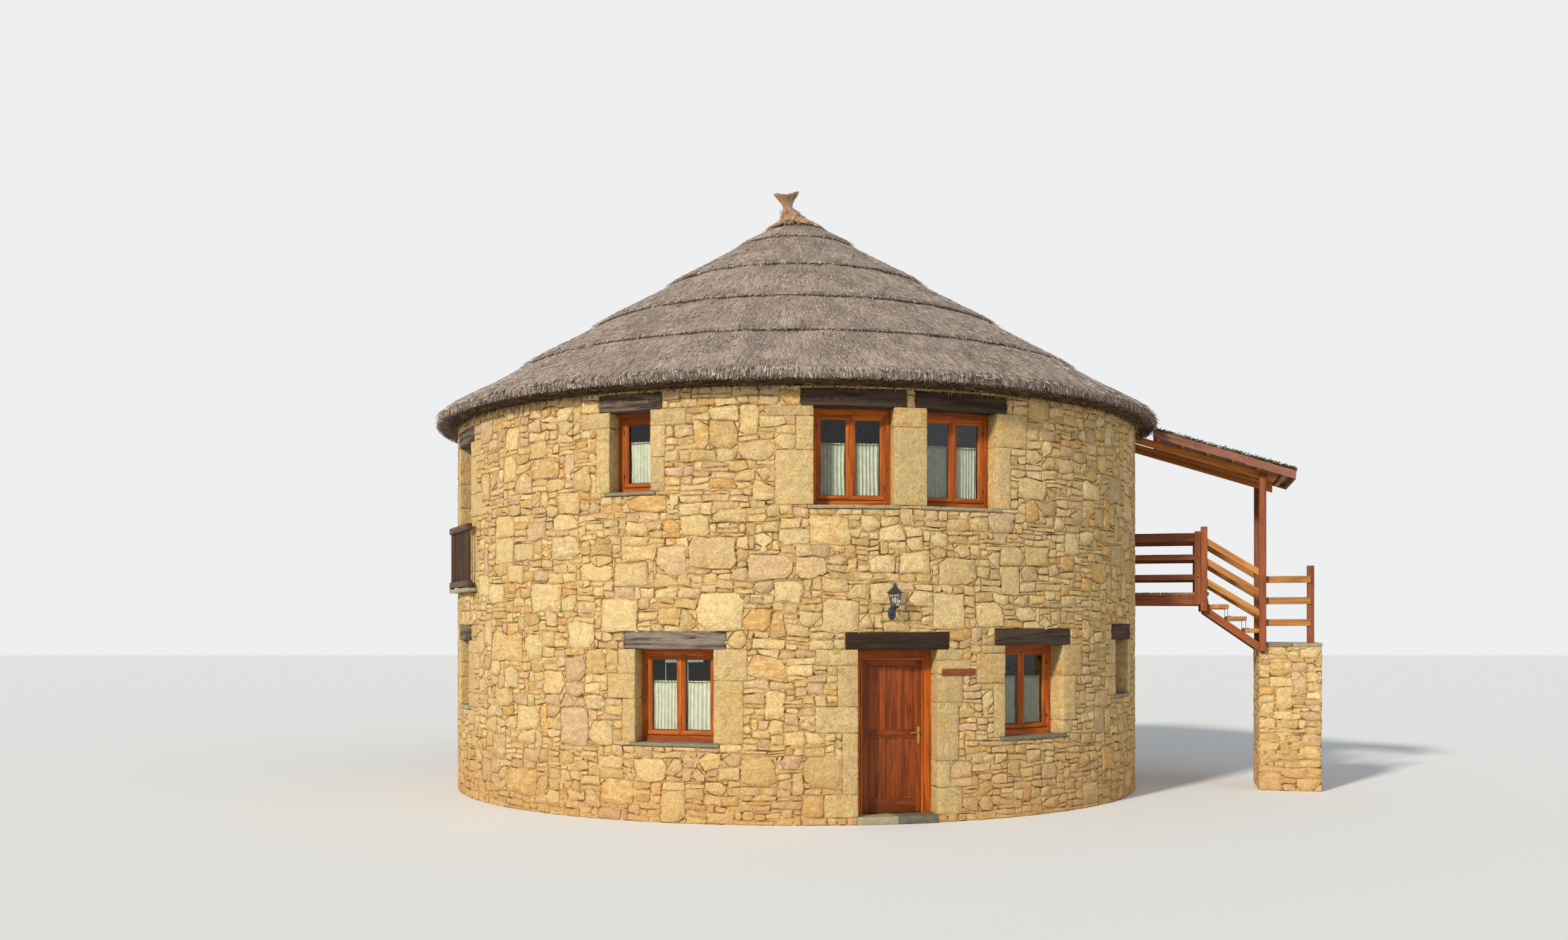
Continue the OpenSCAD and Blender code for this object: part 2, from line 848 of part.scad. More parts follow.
module stair_treads() {
    color(pale_wood) landing_side()
        for (i = [1 : treads])
            translate([bridge_end + (i - 1) * going + tread_in, near_y + 1,
                       deck_z - i * rise - tread_t])
                cube([tread_w, bridge_w - 2, tread_t]);
}

// Bent plates that hold the front of each tread up from the one below
module tread_brackets() {
    up = rise - tread_t;
    color(iron) landing_side()
        for (i = [2 : treads])
            for (y = [near_y + 1, far_y - 61])
                translate([bridge_end + (i - 1) * going + tread_in + 4, y,
                           deck_z - i * rise]) {
                    cube([5, 60, up]);
                    translate([-3, 0, 0]) cube([60, 60, 5]);
                }
}

rail_t = 45;
// height above the deck and depth of each landing rail
landing_rails = [[785, 130], [500, 85], [190, 85]];
stair_rails = [830, 520, 210];
fence_rails = [915, 590, 257];
stair_fall = 480;

module landing_railing() {
    color(post_brown) landing_side()
        for (y = [near_y - post, far_y])
            difference() {
                union() {
                    translate([head_post_x - post / 2 - 90, y < 1000 ? y + 10 : y,
                               deck_z - deck_t - bearer_h])
                        cube([90, post - 10, 940 + deck_t + bearer_h]);
                    for (r = landing_rails)
                        translate([wall_r - 420, y + 25, deck_z + r[0]])
                            cube([head_post_x - post / 2 - 90 - wall_r + 420, rail_t, r[1]]);
                }
                round_slab(wall_r + seam, 0, wall_h);
            }
}

module stair_railing() {
    x0 = head_post_x + post / 2;
    x1 = tall_post_x - post / 2;
    color(post_brown) landing_side()
        for (y = [near_y - post, far_y]) {
            translate([head_post_x - post / 2, y, deck_z - 290])
                cube([post, post, 1300]);
            for (z = stair_rails)
                translate([0, y + 25 + rail_t, deck_z + z]) rotate([90, 0, 0])
                    linear_extrude(height = rail_t)
                        polygon([[x0, 0], [x1, -stair_fall], [x1, -stair_fall - rail_h],
                                 [x0, -rail_h]]);
        }
}

module fence_bay() {
    color(post_brown) landing_side() {
        translate([fence_x - post / 2, near_y + 30, coping_z])
            cube([post, post, 1178]);
        for (z = fence_rails)
            translate([tall_post_x - post / 2 + post, near_y + 5, coping_z + z])
                cube([fence_x - tall_post_x - post / 2 - post / 2 + 50, rail_t, rail_h]);
    }
}

module abutment_wall() {
    color(granite) landing_side()
        translate([abut_x, near_y, 0])
            cube([abut_len, bridge_w + 110, coping_z - coping_t]);
}

module abutment_coping() {
    color(slate) landing_side()
        translate([abut_x, near_y, coping_z - coping_t])
            cube([abut_len + 20, bridge_w + 130, coping_t]);
}

lamp_a = 12.5;
lamp_z = door_head + 525;
lamp_out = 150;

// Wall lantern on a bent arm
module lamp_body() {
    color(iron) facing(lamp_a) {
        translate([0, -wall_r, lamp_z - 70]) scale([0.6, 1, 1])
            rotate([90, 0, 0]) cylinder(r = 88, h = 18, $fn = 48);
        translate([0, -wall_r - lamp_out, 0]) {
            translate([0, lamp_out - 10, lamp_z - 70]) rotate([90, 0, 0])
                cylinder(r = 9, h = lamp_out - 1, $fn = 24);
            translate([0, 0, lamp_z - 79]) cylinder(r = 9, h = 80, $fn = 24);
            translate([0, 0, lamp_z]) cylinder(r1 = 40, r2 = 58, h = 22, $fn = 6);
            translate([0, 0, lamp_z + 188]) cylinder(r1 = 112, r2 = 60, h = 40, $fn = 6);
            translate([0, 0, lamp_z + 228]) cylinder(r1 = 60, r2 = 18, h = 55, $fn = 6);
            translate([0, 0, lamp_z + 275]) cylinder(r1 = 14, r2 = 5, h = 48, $fn = 24);
            for (i = [0 : 5]) rotate([0, 0, i * 60])
                translate([48, -4.5, lamp_z + 16]) rotate([0, 12.5, 0])
                    cube([9, 9, 180]);
        }
    }
}

module lamp_glass() {
    color(clear) facing(lamp_a)
        translate([0, -wall_r - lamp_out, lamp_z + 22])
            cylinder(r1 = 44, r2 = 78, h = 166, $fn = 6);
}

// Bare plank on the wall, a set gap beside the doorway
module name_plank() {
    plank_a = door_a + asin((door_w / 2 + 44 + 240) / wall_r);
    color(oak) facing(plank_a)
        translate([-240, -wall_r - 20, door_head - 340]) cube([480, 20, 90]);
}

ground_floor();
upper_floor();
wall_front_left();
wall_over_door();
wall_front_right();
wall_right();
wall_back_right();
wall_back();
wall_left();
lintels();
sills();
window_frames();
casements();
window_panes();
curtains();
french_window();
balcony_slab();
balcony_railing();
door_frames();
front_door_leaf();
front_door_handle();
side_door_leaf();
wall_plate();
rafters();
crown_block();
eave_roll();
thatch_course_1();
thatch_course_2();
thatch_course_3();
thatch_course_4();
thatch_course_5();
roof_tuft();
canopy_beams();
canopy_posts();
canopy_purlins();
canopy_boards();
verge_boards();
canopy_cover();
landing_deck();
landing_frame();
stair_treads();
tread_brackets();
landing_railing();
stair_railing();
fence_bay();
abutment_wall();
abutment_coping();
lamp_body();
lamp_glass();
name_plank();
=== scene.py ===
import math

import bpy
import numpy as np
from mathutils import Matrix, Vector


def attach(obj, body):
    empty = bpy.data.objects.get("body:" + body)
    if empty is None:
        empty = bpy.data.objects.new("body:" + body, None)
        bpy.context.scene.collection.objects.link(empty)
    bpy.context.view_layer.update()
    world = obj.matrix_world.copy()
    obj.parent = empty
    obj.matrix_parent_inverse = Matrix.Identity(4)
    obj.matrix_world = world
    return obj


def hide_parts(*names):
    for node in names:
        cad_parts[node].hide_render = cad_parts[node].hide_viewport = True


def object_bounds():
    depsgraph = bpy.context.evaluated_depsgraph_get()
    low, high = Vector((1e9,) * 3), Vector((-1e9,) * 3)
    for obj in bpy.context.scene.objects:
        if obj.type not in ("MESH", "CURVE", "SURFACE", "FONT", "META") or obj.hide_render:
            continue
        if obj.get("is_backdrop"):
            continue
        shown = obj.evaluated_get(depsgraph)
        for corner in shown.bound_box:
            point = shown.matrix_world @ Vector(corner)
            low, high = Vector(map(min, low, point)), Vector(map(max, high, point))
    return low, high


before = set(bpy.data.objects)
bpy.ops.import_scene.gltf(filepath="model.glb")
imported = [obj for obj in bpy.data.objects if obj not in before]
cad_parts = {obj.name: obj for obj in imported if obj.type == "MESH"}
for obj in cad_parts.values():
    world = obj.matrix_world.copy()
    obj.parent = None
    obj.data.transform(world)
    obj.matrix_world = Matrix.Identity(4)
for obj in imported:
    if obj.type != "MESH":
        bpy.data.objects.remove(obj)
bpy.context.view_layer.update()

# Sizes of the hut in metres, as in the part's source

WALL_R = 5.40
WALL_H = 5.54
REVEAL = 0.25
LINTEL_H = 0.22
LINTEL_BEAR = 0.155
SILL_T = 0.045
FRAME_W = 0.080
FRAME_T = 0.07
DOOR_SET_BACK = 0.03
STILE_W = 0.060
CASEMENT_T = 0.044
CURTAIN_SHARE = 0.66

EAVE_R = 5.70
PITCH = 0.628
APEX_Z = WALL_H + 0.17 + PITCH * EAVE_R
THATCH_T = 0.32
COURSE_R = [share * EAVE_R for share in (1, 0.791, 0.586, 0.374, 0.167, 0.047)]
ROLL_R = 0.12
ROLL_MID = WALL_R + 0.015

# Windows: name, angle, width, sill, head, casements, curtained
WINDOWS = [
    ("upper_a", -23.9, 0.62, 4.24, 5.29, 1, True),
    ("upper_b", 7.4, 1.05, 4.04, 5.29, 2, True),
    ("upper_c", 23.1, 1.05, 4.04, 5.29, 2, True),
    ("upper_d", 130, 1.05, 4.04, 5.29, 2, True),
    ("upper_e", 180, 1.05, 4.04, 5.29, 2, True),
    ("upper_f", 230, 1.05, 4.04, 5.29, 2, True),
    ("lower_a", -66.3, 0.58, 1.34, 2.31, 1, False),
    ("lower_b", -17.3, 1.09, 1.02, 2.22, 2, True),
    ("lower_c", 35.8, 1.10, 1.06, 2.26, 2, True),
    ("lower_d", 61.3, 0.66, 1.53, 2.325, 1, False),
    ("lower_e", 150, 1.09, 1.02, 2.22, 2, True),
    ("lower_f", 205, 1.09, 1.02, 2.22, 2, True),
    ("lower_g", 250, 1.09, 1.02, 2.22, 2, True),
]
# Door-height openings: name, angle, width, foot, head
TALL = [
    ("french", -66, 0.80, 3.07, 5.20),
    ("side_door", 84.5, 0.96, 3.05, 5.15),
    ("front_door", 13.55, 1.075, 0.10, 2.215),
]

# The landing, in its own line: u away from the hut, v across
BRIDGE_A = -15
NEAR_V, FAR_V = 0.34, 1.44
DECK_Z, COPING_Z = 3.04, 2.26
HEAD_POST_U, TALL_POST_U, FENCE_U = 6.44, 7.30, 8.00
BRIDGE_END = 6.49
ABUT_U, ABUT_LEN, ABUT_W = 7.25, 0.90, 1.21
POST = 0.10
PLANK_A = 22.3


# Helpers for numbers and places

def hue(red, green, blue):
    """A colour written as it looks, from 0 to 255, for a shader socket"""
    return tuple(((c / 255 + 0.055) / 1.055) ** 2.4 if c > 10 else c / 255 / 12.92
                 for c in (red, green, blue)) + (1.0,)


def wobble(points, size, seed=0):
    """Smooth noise from -1 to 1, with lumps of about that size"""
    q = np.asarray(points, float) / size + seed * 17.31
    cell = np.floor(q).astype(np.int64)
    f = q - cell
    f = f * f * (3 - 2 * f)
    out = np.zeros(len(q))
    for i in (0, 1):
        for j in (0, 1):
            for k in (0, 1):
                n = ((cell[:, 0] + i) * 73856093) ^ ((cell[:, 1] + j) * 19349663) \
                    ^ ((cell[:, 2] + k) * 83492791)
                n = ((n ^ (n >> 13)) * 1274126177) & 0xffffffff
                value = ((n ^ (n >> 16)) & 0xffff) / 32767.5 - 1
                out += value * np.where(i, f[:, 0], 1 - f[:, 0]) \
                    * np.where(j, f[:, 1], 1 - f[:, 1]) * np.where(k, f[:, 2], 1 - f[:, 2])
    return out


def facing(angle, origin=(0, 0, 0)):
    """Place whose x runs along the wall and whose y runs inwards, at that angle"""
    a = math.radians(angle)
    turn = np.eye(4)
    turn[0, :2] = math.cos(a), -math.sin(a)
    turn[1, :2] = math.sin(a), math.cos(a)
    shift = np.eye(4)
    shift[:3, 3] = origin
    return turn @ shift


def landing(origin=(0, 0, 0)):
    return facing(BRIDGE_A, origin)


def along(start, end, up=(0, 0, 1)):
    """Place whose x runs from start to end, with z as near to up as it can be"""
    start, end = np.array(start, float), np.array(end, float)
    x = (end - start) / np.linalg.norm(end - start)
    y = np.cross(up, x)
    y /= np.linalg.norm(y)
    place = np.eye(4)
    place[:3, 0], place[:3, 1], place[:3, 2] = x, y, np.cross(x, y)
    place[:3, 3] = start
    return place


def placed(points, place):
    return np.asarray(points) @ place[:3, :3].T + place[:3, 3]


def shifted(place, x, y, z):
    return place @ facing(0, (x, y, z))


def lying(way):
    """A turn that lays z along y, one way or the other"""
    turn = np.eye(4)
    turn[1:3, 1:3] = [[0, way], [-way, 0]]
    return turn


def xyz(x, y, z):
    """Points from their columns, or from numbers that all of them share"""
    return np.stack(np.broadcast_arrays(x, y, z), -1)


def joined(rows, columns, ring=False):
    """Faces between rows of points that each close on themselves, and in a ring also
    from the last row back to the first"""
    i = np.arange(rows - (not ring))[:, None] * columns
    j = np.arange(columns)[None, :]
    k, up = (j + 1) % columns, (i + columns) % (rows * columns)
    return np.stack([i + j, i + k, up + k, up + j], -1).reshape(-1, 4)


def woven(grid):
    """Faces of a flat grid of point numbers"""
    return np.stack([grid[:-1, :-1], grid[1:, :-1], grid[1:, 1:], grid[:-1, 1:]],
                    -1).reshape(-1, 4)


def end_faces(rows, columns):
    """The two faces that close the first and the last row"""
    ring = np.arange(columns)[None, :]
    return [ring[:, ::-1], (rows - 1) * columns + ring]


def shown(name, data):
    """An object in the scene, from its mesh, lamp or camera"""
    made = bpy.data.objects.new(name, data)
    bpy.context.scene.collection.objects.link(made)
    return made


class Heap:
    """Gathers the parts of one piece, with each part's grain and tone"""

    def __init__(self, seed):
        self.rng = np.random.default_rng(seed)
        self.points, self.faces, self.grain, self.tone, self.count = [], [], [], [], 0

    def add(self, points, faces, grain=None, tone=None):
        points = np.asarray(points, float)
        if tone is None:
            tone = (*self.rng.random(2), 1.0)
        if grain is None:
            grain = points + self.rng.random(3) * 20
        self.points.append(points)
        self.grain.append(np.broadcast_to(grain, points.shape))
        self.tone.append(np.broadcast_to(tone, points.shape))
        for f in faces if isinstance(faces, list) else [faces]:
            self.faces.append(np.asarray(f, np.int64) + self.count)
        self.count += len(points)


def piece(name, heap, material, body="hut", replaces=None, sharp=40):
    """One shown object from a heap. Edges over sharp degrees stay crisp."""
    mesh = bpy.data.meshes.new(name)
    points = np.concatenate(heap.points)
    mesh.vertices.add(len(points))
    mesh.vertices.foreach_set("co", points.astype(np.float32).ravel())
    loops = np.concatenate([f.ravel() for f in heap.faces])
    totals = np.concatenate([np.full(len(f), f.shape[1]) for f in heap.faces])
    mesh.loops.add(len(loops))
    mesh.loops.foreach_set("vertex_index", loops.astype(np.int32))
    mesh.polygons.add(len(totals))
    starts = np.cumsum(totals) - totals
    mesh.polygons.foreach_set("loop_start", starts.astype(np.int32))
    mesh.update(calc_edges=True)
    grain = mesh.attributes.new("grain", "FLOAT_VECTOR", "POINT")
    grain.data.foreach_set("vector", np.concatenate(heap.grain).astype(np.float32).ravel())
    tone = mesh.attributes.new("tone", "FLOAT_COLOR", "POINT")
    colours = np.ones((len(points), 4), np.float32)
    colours[:, :3] = np.concatenate(heap.tone)
    tone.data.foreach_set("color", colours.ravel())
    mesh.validate()
    mesh.polygons.foreach_set("use_smooth", np.ones(len(mesh.polygons), bool))
    if sharp < 180:
        mesh.set_sharp_from_angle(angle=math.radians(sharp))
    mesh.materials.append(bpy.data.materials[material])
    made = shown(name, mesh)
    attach(made, body)
    if replaces:
        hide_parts(replaces)
    return made


def repaint(material, *nodes):
    """Gives CAD nodes that stay in view their material"""
    for node in nodes:
        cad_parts[node].data.materials.clear()
        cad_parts[node].data.materials.append(bpy.data.materials[material])


# Shapes

def block(heap, place, size, edge=0.004, step=0.25, rough=0.0, lump=0.08, grain_axis=0,
          tone=None, shape=None, centred=""):
    """A block with eased edges. Its corner, or its middle on each axis that centred
    names, is at the place's origin. shape(points, share) may move the points, where
    share is each point's place in the block from 0 to 1."""
    cuts = []
    for length in size:
        ease = min(edge, length * 0.3)
        n = max(1, int(round((length - 2 * ease) / step)))
        inner = np.linspace(ease, length - ease, n + 1)
        cuts.append(np.concatenate([[0.0], inner, [length]]))
    on = np.zeros([len(c) for c in cuts], bool)
    on[[0, -1]] = on[:, [0, -1]] = on[:, :, [0, -1]] = True
    index = np.cumsum(on).reshape(on.shape) - 1
    p = xyz(*(c[i] for c, i in zip(cuts, np.argwhere(on).T)))
    length = np.array(size, float)
    ease = np.minimum(edge, length * 0.3)
    core = np.clip(p, ease, length - ease)
    away = (p - core) / ease
    norm = np.linalg.norm(away, axis=1, keepdims=True)
    p = core + ease * away / np.maximum(norm, 1)
    share = p / length
    faces = []
    for axis, flip in ((0, 1), (1, 0), (2, 1)):
        for end in (0, -1):
            quads = woven(np.take(index, end, axis))
            faces.append(quads[:, ::-1] if (end == 0) == bool(flip) else quads)
    offset = heap.rng.random(3) * 30
    order = [grain_axis] + [a for a in range(3) if a != grain_axis]
    grain = p[:, order] + offset
    if rough:
        for axis in range(3):
            p[:, axis] += rough * wobble(p + offset, lump, axis + 1)
    p -= [length[a] / 2 * ("xyz"[a] in centred) for a in range(3)]
    if shape:
        p = shape(p, share)
    heap.add(placed(p, place), faces, grain, tone)


def lathe(heap, place, profile, sides=48, tone=None):
    """A turned or many-sided form about the place's z axis"""
    r, z = np.array([row for row in profile if row[0] > 0], float).T
    a = np.linspace(0, 2 * math.pi, sides, endpoint=False)
    p = xyz(np.outer(r, np.cos(a)), np.outer(r, np.sin(a)), z[:, None]).reshape(-1, 3)
    heap.add(placed(p, place), [joined(len(r), sides), *end_faces(len(r), sides)], None, tone)


def tube(heap, points, radius, sides=8):
    """A round bar that follows the points, with one radius or one for each point"""
    points = np.array(points, float)
    radius = np.broadcast_to(radius, len(points))
    ahead = np.gradient(points, axis=0)
    ahead /= np.linalg.norm(ahead, axis=1, keepdims=True)
    side = np.cross(ahead[0], [0.3, 0.2, 0.93])
    side /= np.linalg.norm(side)
    a = np.linspace(0, 2 * math.pi, sides, endpoint=False)[:, None]
    rings = []
    for p, t, r in zip(points, ahead, radius):
        side = side - t * (side @ t)
        side /= np.linalg.norm(side)
        rings.append(p + r * (np.cos(a) * side + np.sin(a) * np.cross(t, side)))
    run = np.concatenate([[0], np.cumsum(np.linalg.norm(np.diff(points, axis=0), axis=1))])
    grain = xyz(np.repeat(run, sides), np.outer(radius, np.cos(a)).ravel(),
                np.outer(radius, np.sin(a)).ravel()) + heap.rng.random(3) * 30
    heap.add(np.concatenate(rings), [joined(len(points), sides), *end_faces(len(points), sides)],
             grain)


def moulding(heap, place, width, height, profile, bottom=True, foot=0.0):
    """Four mitred members round a rectangle centred on x and standing on z = 0.
    The profile gives points of (inwards from the outer edge, y)."""
    inwards_by, y = np.array(profile, float).T
    n = len(y)
    corners = [(-width / 2, foot, 1, 1), (-width / 2, height, 1, -1),
               (width / 2, height, -1, -1), (width / 2, foot, -1, 1)]
    for pair in [(0, 1), (1, 2), (3, 2)] + [(0, 3)] * bottom:
        rows = []
        for x, z, inx, inz in (corners[c] for c in pair):
            if not bottom and inz == 1:
                inz = 0
            rows.append(xyz(x + inx * inwards_by, y, z + inz * inwards_by))
        p = np.concatenate(rows)
        run = rows[1][0] - rows[0][0]
        axis = int(np.argmax(np.abs(run)))
        faces = [joined(2, n), *end_faces(2, n)]
        if np.cross(p[1] - p[0], run) @ (p[0] - p[:n].mean(0)) < 0:
            faces = [f[:, ::-1] for f in faces]
        order = [axis] + [a for a in range(3) if a != axis]
        heap.add(placed(p, place), faces, p[:, order] + heap.rng.random(3) * 30)


def blades(heap, root, tip, side, width, lift, tones, closed=True):
    """Many short straws at once: each is a sliver from root to tip, folded along its
    length. lift is the way its fold stands up, and closed ones have an end face."""
    n = len(root)
    side = side / np.linalg.norm(side, axis=1, keepdims=True)
    w = np.asarray(width)[:, None]
    p = np.stack([root, tip - side * w / 2, tip + lift, tip + side * w / 2], 1)
    base = np.arange(n)[:, None] * 4
    faces = np.concatenate([base + [0, 2, 1], base + [0, 3, 2]] + [base + [1, 2, 3]] * closed)
    grain = np.zeros((n, 4, 3))
    grain[:, 1:, 0] = np.linalg.norm(tip - root, axis=1)[:, None]
    grain[:, 1, 1], grain[:, 3, 1] = -w[:, 0] / 2, w[:, 0] / 2
    grain += heap.rng.random((n, 1, 3)) * 20
    heap.add(p.reshape(-1, 3), faces, grain.reshape(-1, 3),
             np.repeat(tones, 12).reshape(-1, 3))


# Shader helpers. A socket or a node knows the tree that it is in

def plug(node, sockets):
    """Links each of the node's sockets to a made value, or sets a plain one on it"""
    for socket, value in sockets.items():
        if isinstance(value, bpy.types.NodeSocket):
            node.id_data.links.new(value, node.inputs[socket])
        else:
            node.inputs[socket].default_value = value


def put(tree, kind, sockets=None, **settings):
    node = tree.nodes.new("ShaderNode" + kind)
    for name, value in settings.items():
        setattr(node, name, value)
    plug(node, sockets or {})
    return node


def mix(share, first, second):
    return put(share.id_data, "Mix", {0: share, 6: first, 7: second},
               data_type="RGBA").outputs[2]


def sums(operation, *values):
    return put(values[0].id_data, "Math", dict(enumerate(values)),
               operation=operation).outputs[0]


def times(first, second):
    return sums("MULTIPLY", first, second)


def spread(value, low, high, to_low=0.0, to_high=1.0):
    return put(value.id_data, "MapRange",
               {0: value, 1: low, 2: high, 3: to_low, 4: to_high}).outputs[0]


def stretched(vector, *factors):
    return put(vector.id_data, "VectorMath", {0: vector, 1: factors},
               operation="MULTIPLY").outputs[0]


def noise(vector, scale, detail=3.0, roughness=0.55, distortion=0.0):
    return put(vector.id_data, "TexNoise",
               {"Vector": vector, "Scale": scale, "Detail": detail, "Roughness": roughness,
                "Distortion": distortion}).outputs[0]


def ramp(share, stops):
    """A colour picked along stops of (place, red, green, blue)"""
    node = put(share.id_data, "ValToRGB", {0: share})
    points = node.color_ramp.elements
    while len(points) < len(stops):
        points.new(0.5)
    for point, (place, *colour) in zip(points, stops):
        point.position, point.color = place, hue(*colour)
    return node.outputs[0]


def shade(colour, value, low, high):
    """The colour made darker or lighter by a value from 0 to 1"""
    grey = spread(value, 0.0, 1.0, low, high)
    return put(value.id_data, "VectorMath", {0: colour, "Scale": grey},
               operation="SCALE").outputs[0]


# The effects that several materials share

def effect(inputs, *outputs):
    """Makes a shared node group from a function that takes the input sockets and gives the
    output sockets. An input with no plain value is a vector."""
    def made(build):
        tree = bpy.data.node_groups.new(build.__name__, "ShaderNodeTree")
        for label, value in inputs.items():
            kind = "Vector" if value is None else "Float"
            socket = tree.interface.new_socket(label, in_out="INPUT",
                                               socket_type="NodeSocket" + kind)
            if value is not None:
                socket.default_value = value
        for label in outputs:
            tree.interface.new_socket(label, in_out="OUTPUT", socket_type="NodeSocketFloat")
        source = tree.nodes.new("NodeGroupInput")
        values = build(*source.outputs[:len(inputs)])
        plug(tree.nodes.new("NodeGroupOutput"), dict(enumerate(values)))
        return tree
    return made


def use(group, **sockets):
    tree = next(iter(sockets.values())).id_data
    return put(tree, "Group", sockets, node_tree=group).outputs


@effect({"Grain": None, "Fineness": 1.0}, "Figure", "Fibre", "Crack")
def timber_figure(grain, fineness):
    figure = noise(stretched(grain, 1.1, 13.0, 13.0), fineness, 3.0, 0.6, 0.9)
    rings = sums("PINGPONG", times(figure, 5.0), 1.0)
    fibre = noise(stretched(grain, 9.0, 240.0, 240.0), 1.0, 2.0)
    checks = noise(stretched(grain, 1.6, 46.0, 46.0), 1.0, 1.0)
    return (sums("MULTIPLY_ADD", rings, 0.55, times(figure, 0.45)), fibre,
            spread(checks, 0.66, 0.72))


@effect({"Place": None}, "Drift", "Runs", "Blotch")
def weather(place):
    drift = noise(place, 0.9, 4.0, 0.6)
    runs = noise(stretched(place, 7.0, 7.0, 0.7), 1.0, 3.0)
    blotch = noise(place, 6.0, 5.0, 0.7)
    return spread(drift, 0.38, 0.64), spread(runs, 0.45, 0.7), spread(blotch, 0.52, 0.68)


@effect({"Grain": None, "Pecking": 0.5}, "Speckle", "Vein", "Pits", "Knocks", "Height")
def stone_face(grain, pecking):
    grit = noise(grain, 110.0, 3.0, 0.7)
    pits = noise(grain, 34.0, 4.0, 0.68)
    vein = noise(stretched(grain, 4.0, 4.0, 13.0), 1.3, 4.0, 0.6, 0.6)
    knocks = noise(grain, 13.0, 3.0, 0.6, 0.5)
    height = sums("ADD", sums("MULTIPLY_ADD", grit, pecking, pits), times(knocks, 1.4))
    return (spread(grit, 0.4, 0.66), spread(vein, 0.34, 0.68), spread(pits, 0.48, 0.66),
            spread(knocks, 0.36, 0.64), height)


@effect({"Grain": None}, "Strand", "Swathe")
def straw_lines(grain):
    fine = noise(stretched(grain, 5.0, 150.0, 60.0), 1.0, 2.0, 0.6)
    broad = noise(stretched(grain, 1.8, 18.0, 9.0), 1.0, 3.0, 0.6)
    return spread(fine, 0.34, 0.66), spread(broad, 0.36, 0.64)


# Materials. Those on CAD nodes take the place for the grain and have no tone

def new_material(name, on_cad=False):
    """A new material's Principled shader, and the grain, place and tone at each point"""
    material = bpy.data.materials.new(name)
    material.use_nodes = True
    tree = material.node_tree
    grain = put(tree, "Attribute", attribute_name="grain").outputs["Vector"]
    place = put(tree, "TexCoord").outputs["Object"]
    tone = put(tree, "SeparateColor",
               {0: put(tree, "Attribute", attribute_name="tone").outputs["Color"]}).outputs
    return tree.nodes["Principled BSDF"], place if on_cad else grain, place, tone


def dress(shader, sockets, height, strength, distance):
    """Fills the shader's sockets, with a bump from the height"""
    normal = put(shader.id_data, "Bump",
                 {"Height": height, "Strength": strength, "Distance": distance}).outputs[0]
    plug(shader, {"Normal": normal, **sockets})


def stone_material(name, stops, dark_lichen, pecking, bump_depth, on_cad=False, rough=0.86,
                   earthy=0.0, mottle=0.14):
    shader, grain, place, tone = new_material(name, on_cad)
    face = use(stone_face, Grain=grain, Pecking=pecking)
    worn = use(weather, Place=place)
    pick = face["Vein"] if on_cad else sums("MULTIPLY_ADD", face["Vein"], mottle,
                                            times(tone[0], 1 - mottle))
    colour = ramp(pick, stops)
    colour = shade(colour, worn["Drift"] if on_cad else tone[1], 0.93, 1.10)
    colour = shade(colour, face["Speckle"], 0.88, 1.16)
    colour = shade(colour, face["Knocks"], 0.88, 1.12)
    colour = mix(times(face["Pits"], 0.36), colour, hue(150, 106, 58))
    # Painted shade and grime along each stone's edges, from the tone's third channel
    if not on_cad:
        colour = shade(colour, tone[2], 0.45, 1.0)
    colour = mix(times(worn["Blotch"], dark_lichen), colour, hue(150, 132, 100))
    if earthy:
        z = put(shader.id_data, "SeparateXYZ", {0: place}).outputs[2]
        colour = mix(spread(z, 1.15, 0.1, 0.0, earthy), colour, hue(206, 144, 76))
    dress(shader, {"Base Color": colour, "Roughness": rough, "Specular IOR Level": 0.25},
          face["Height"], 1.0, bump_depth)


def timber_material(name, dark, light, grey, grey_share, rough, coat=0.0, fineness=1.0,
                    on_cad=False, depth=0.004, silver=None):
    shader, grain, place, tone = new_material(name, on_cad)
    figure = use(timber_figure, Grain=grain, Fineness=fineness)
    worn = use(weather, Place=place)
    colour = mix(figure["Figure"], hue(*dark), hue(*light))
    colour = shade(colour, figure["Fibre"], 0.82, 1.12)
    if not on_cad:
        colour = shade(colour, tone[1], 0.80, 1.14)
    faded = sums("MULTIPLY_ADD", worn["Blotch"], grey_share * 0.6,
                 times(worn["Drift"], grey_share * 0.5))
    colour = mix(faded, colour, hue(*grey))
    colour = mix(times(figure["Crack"], 0.55 * (grey_share + 0.3)), colour, hue(26, 16, 10))
    if silver:
        shine = times(tone[0], spread(figure["Fibre"], 0.3, 0.62, 0.35, 1.0))
        colour = mix(times(shine, spread(figure["Figure"], 0.15, 0.6)), colour, hue(*silver))
    height = sums("SUBTRACT", figure["Fibre"], times(figure["Crack"], 1.5))
    dress(shader, {"Base Color": colour, "Specular IOR Level": 0.25, "Coat Weight": coat,
                   "Roughness": spread(figure["Fibre"], 0.0, 1.0, rough - 0.08, rough + 0.1),
                   "Coat Roughness": 0.35}, height, 0.5, depth)


def straw_material(name, stops, green_share=0.0):
    shader, grain, place, tone = new_material(name)
    lines = use(straw_lines, Grain=grain)
    worn = use(weather, Place=place)
    pick = sums("MULTIPLY_ADD", lines["Strand"], 0.42, times(tone[0], 0.58))
    colour = shade(ramp(pick, stops), lines["Swathe"], 0.78, 1.14)
    if green_share:
        colour = mix(times(worn["Blotch"], green_share), colour, hue(88, 88, 42))
    dress(shader, {"Base Color": colour, "Roughness": 0.88, "Specular IOR Level": 0.2},
          lines["Strand"], 0.6, 0.008)


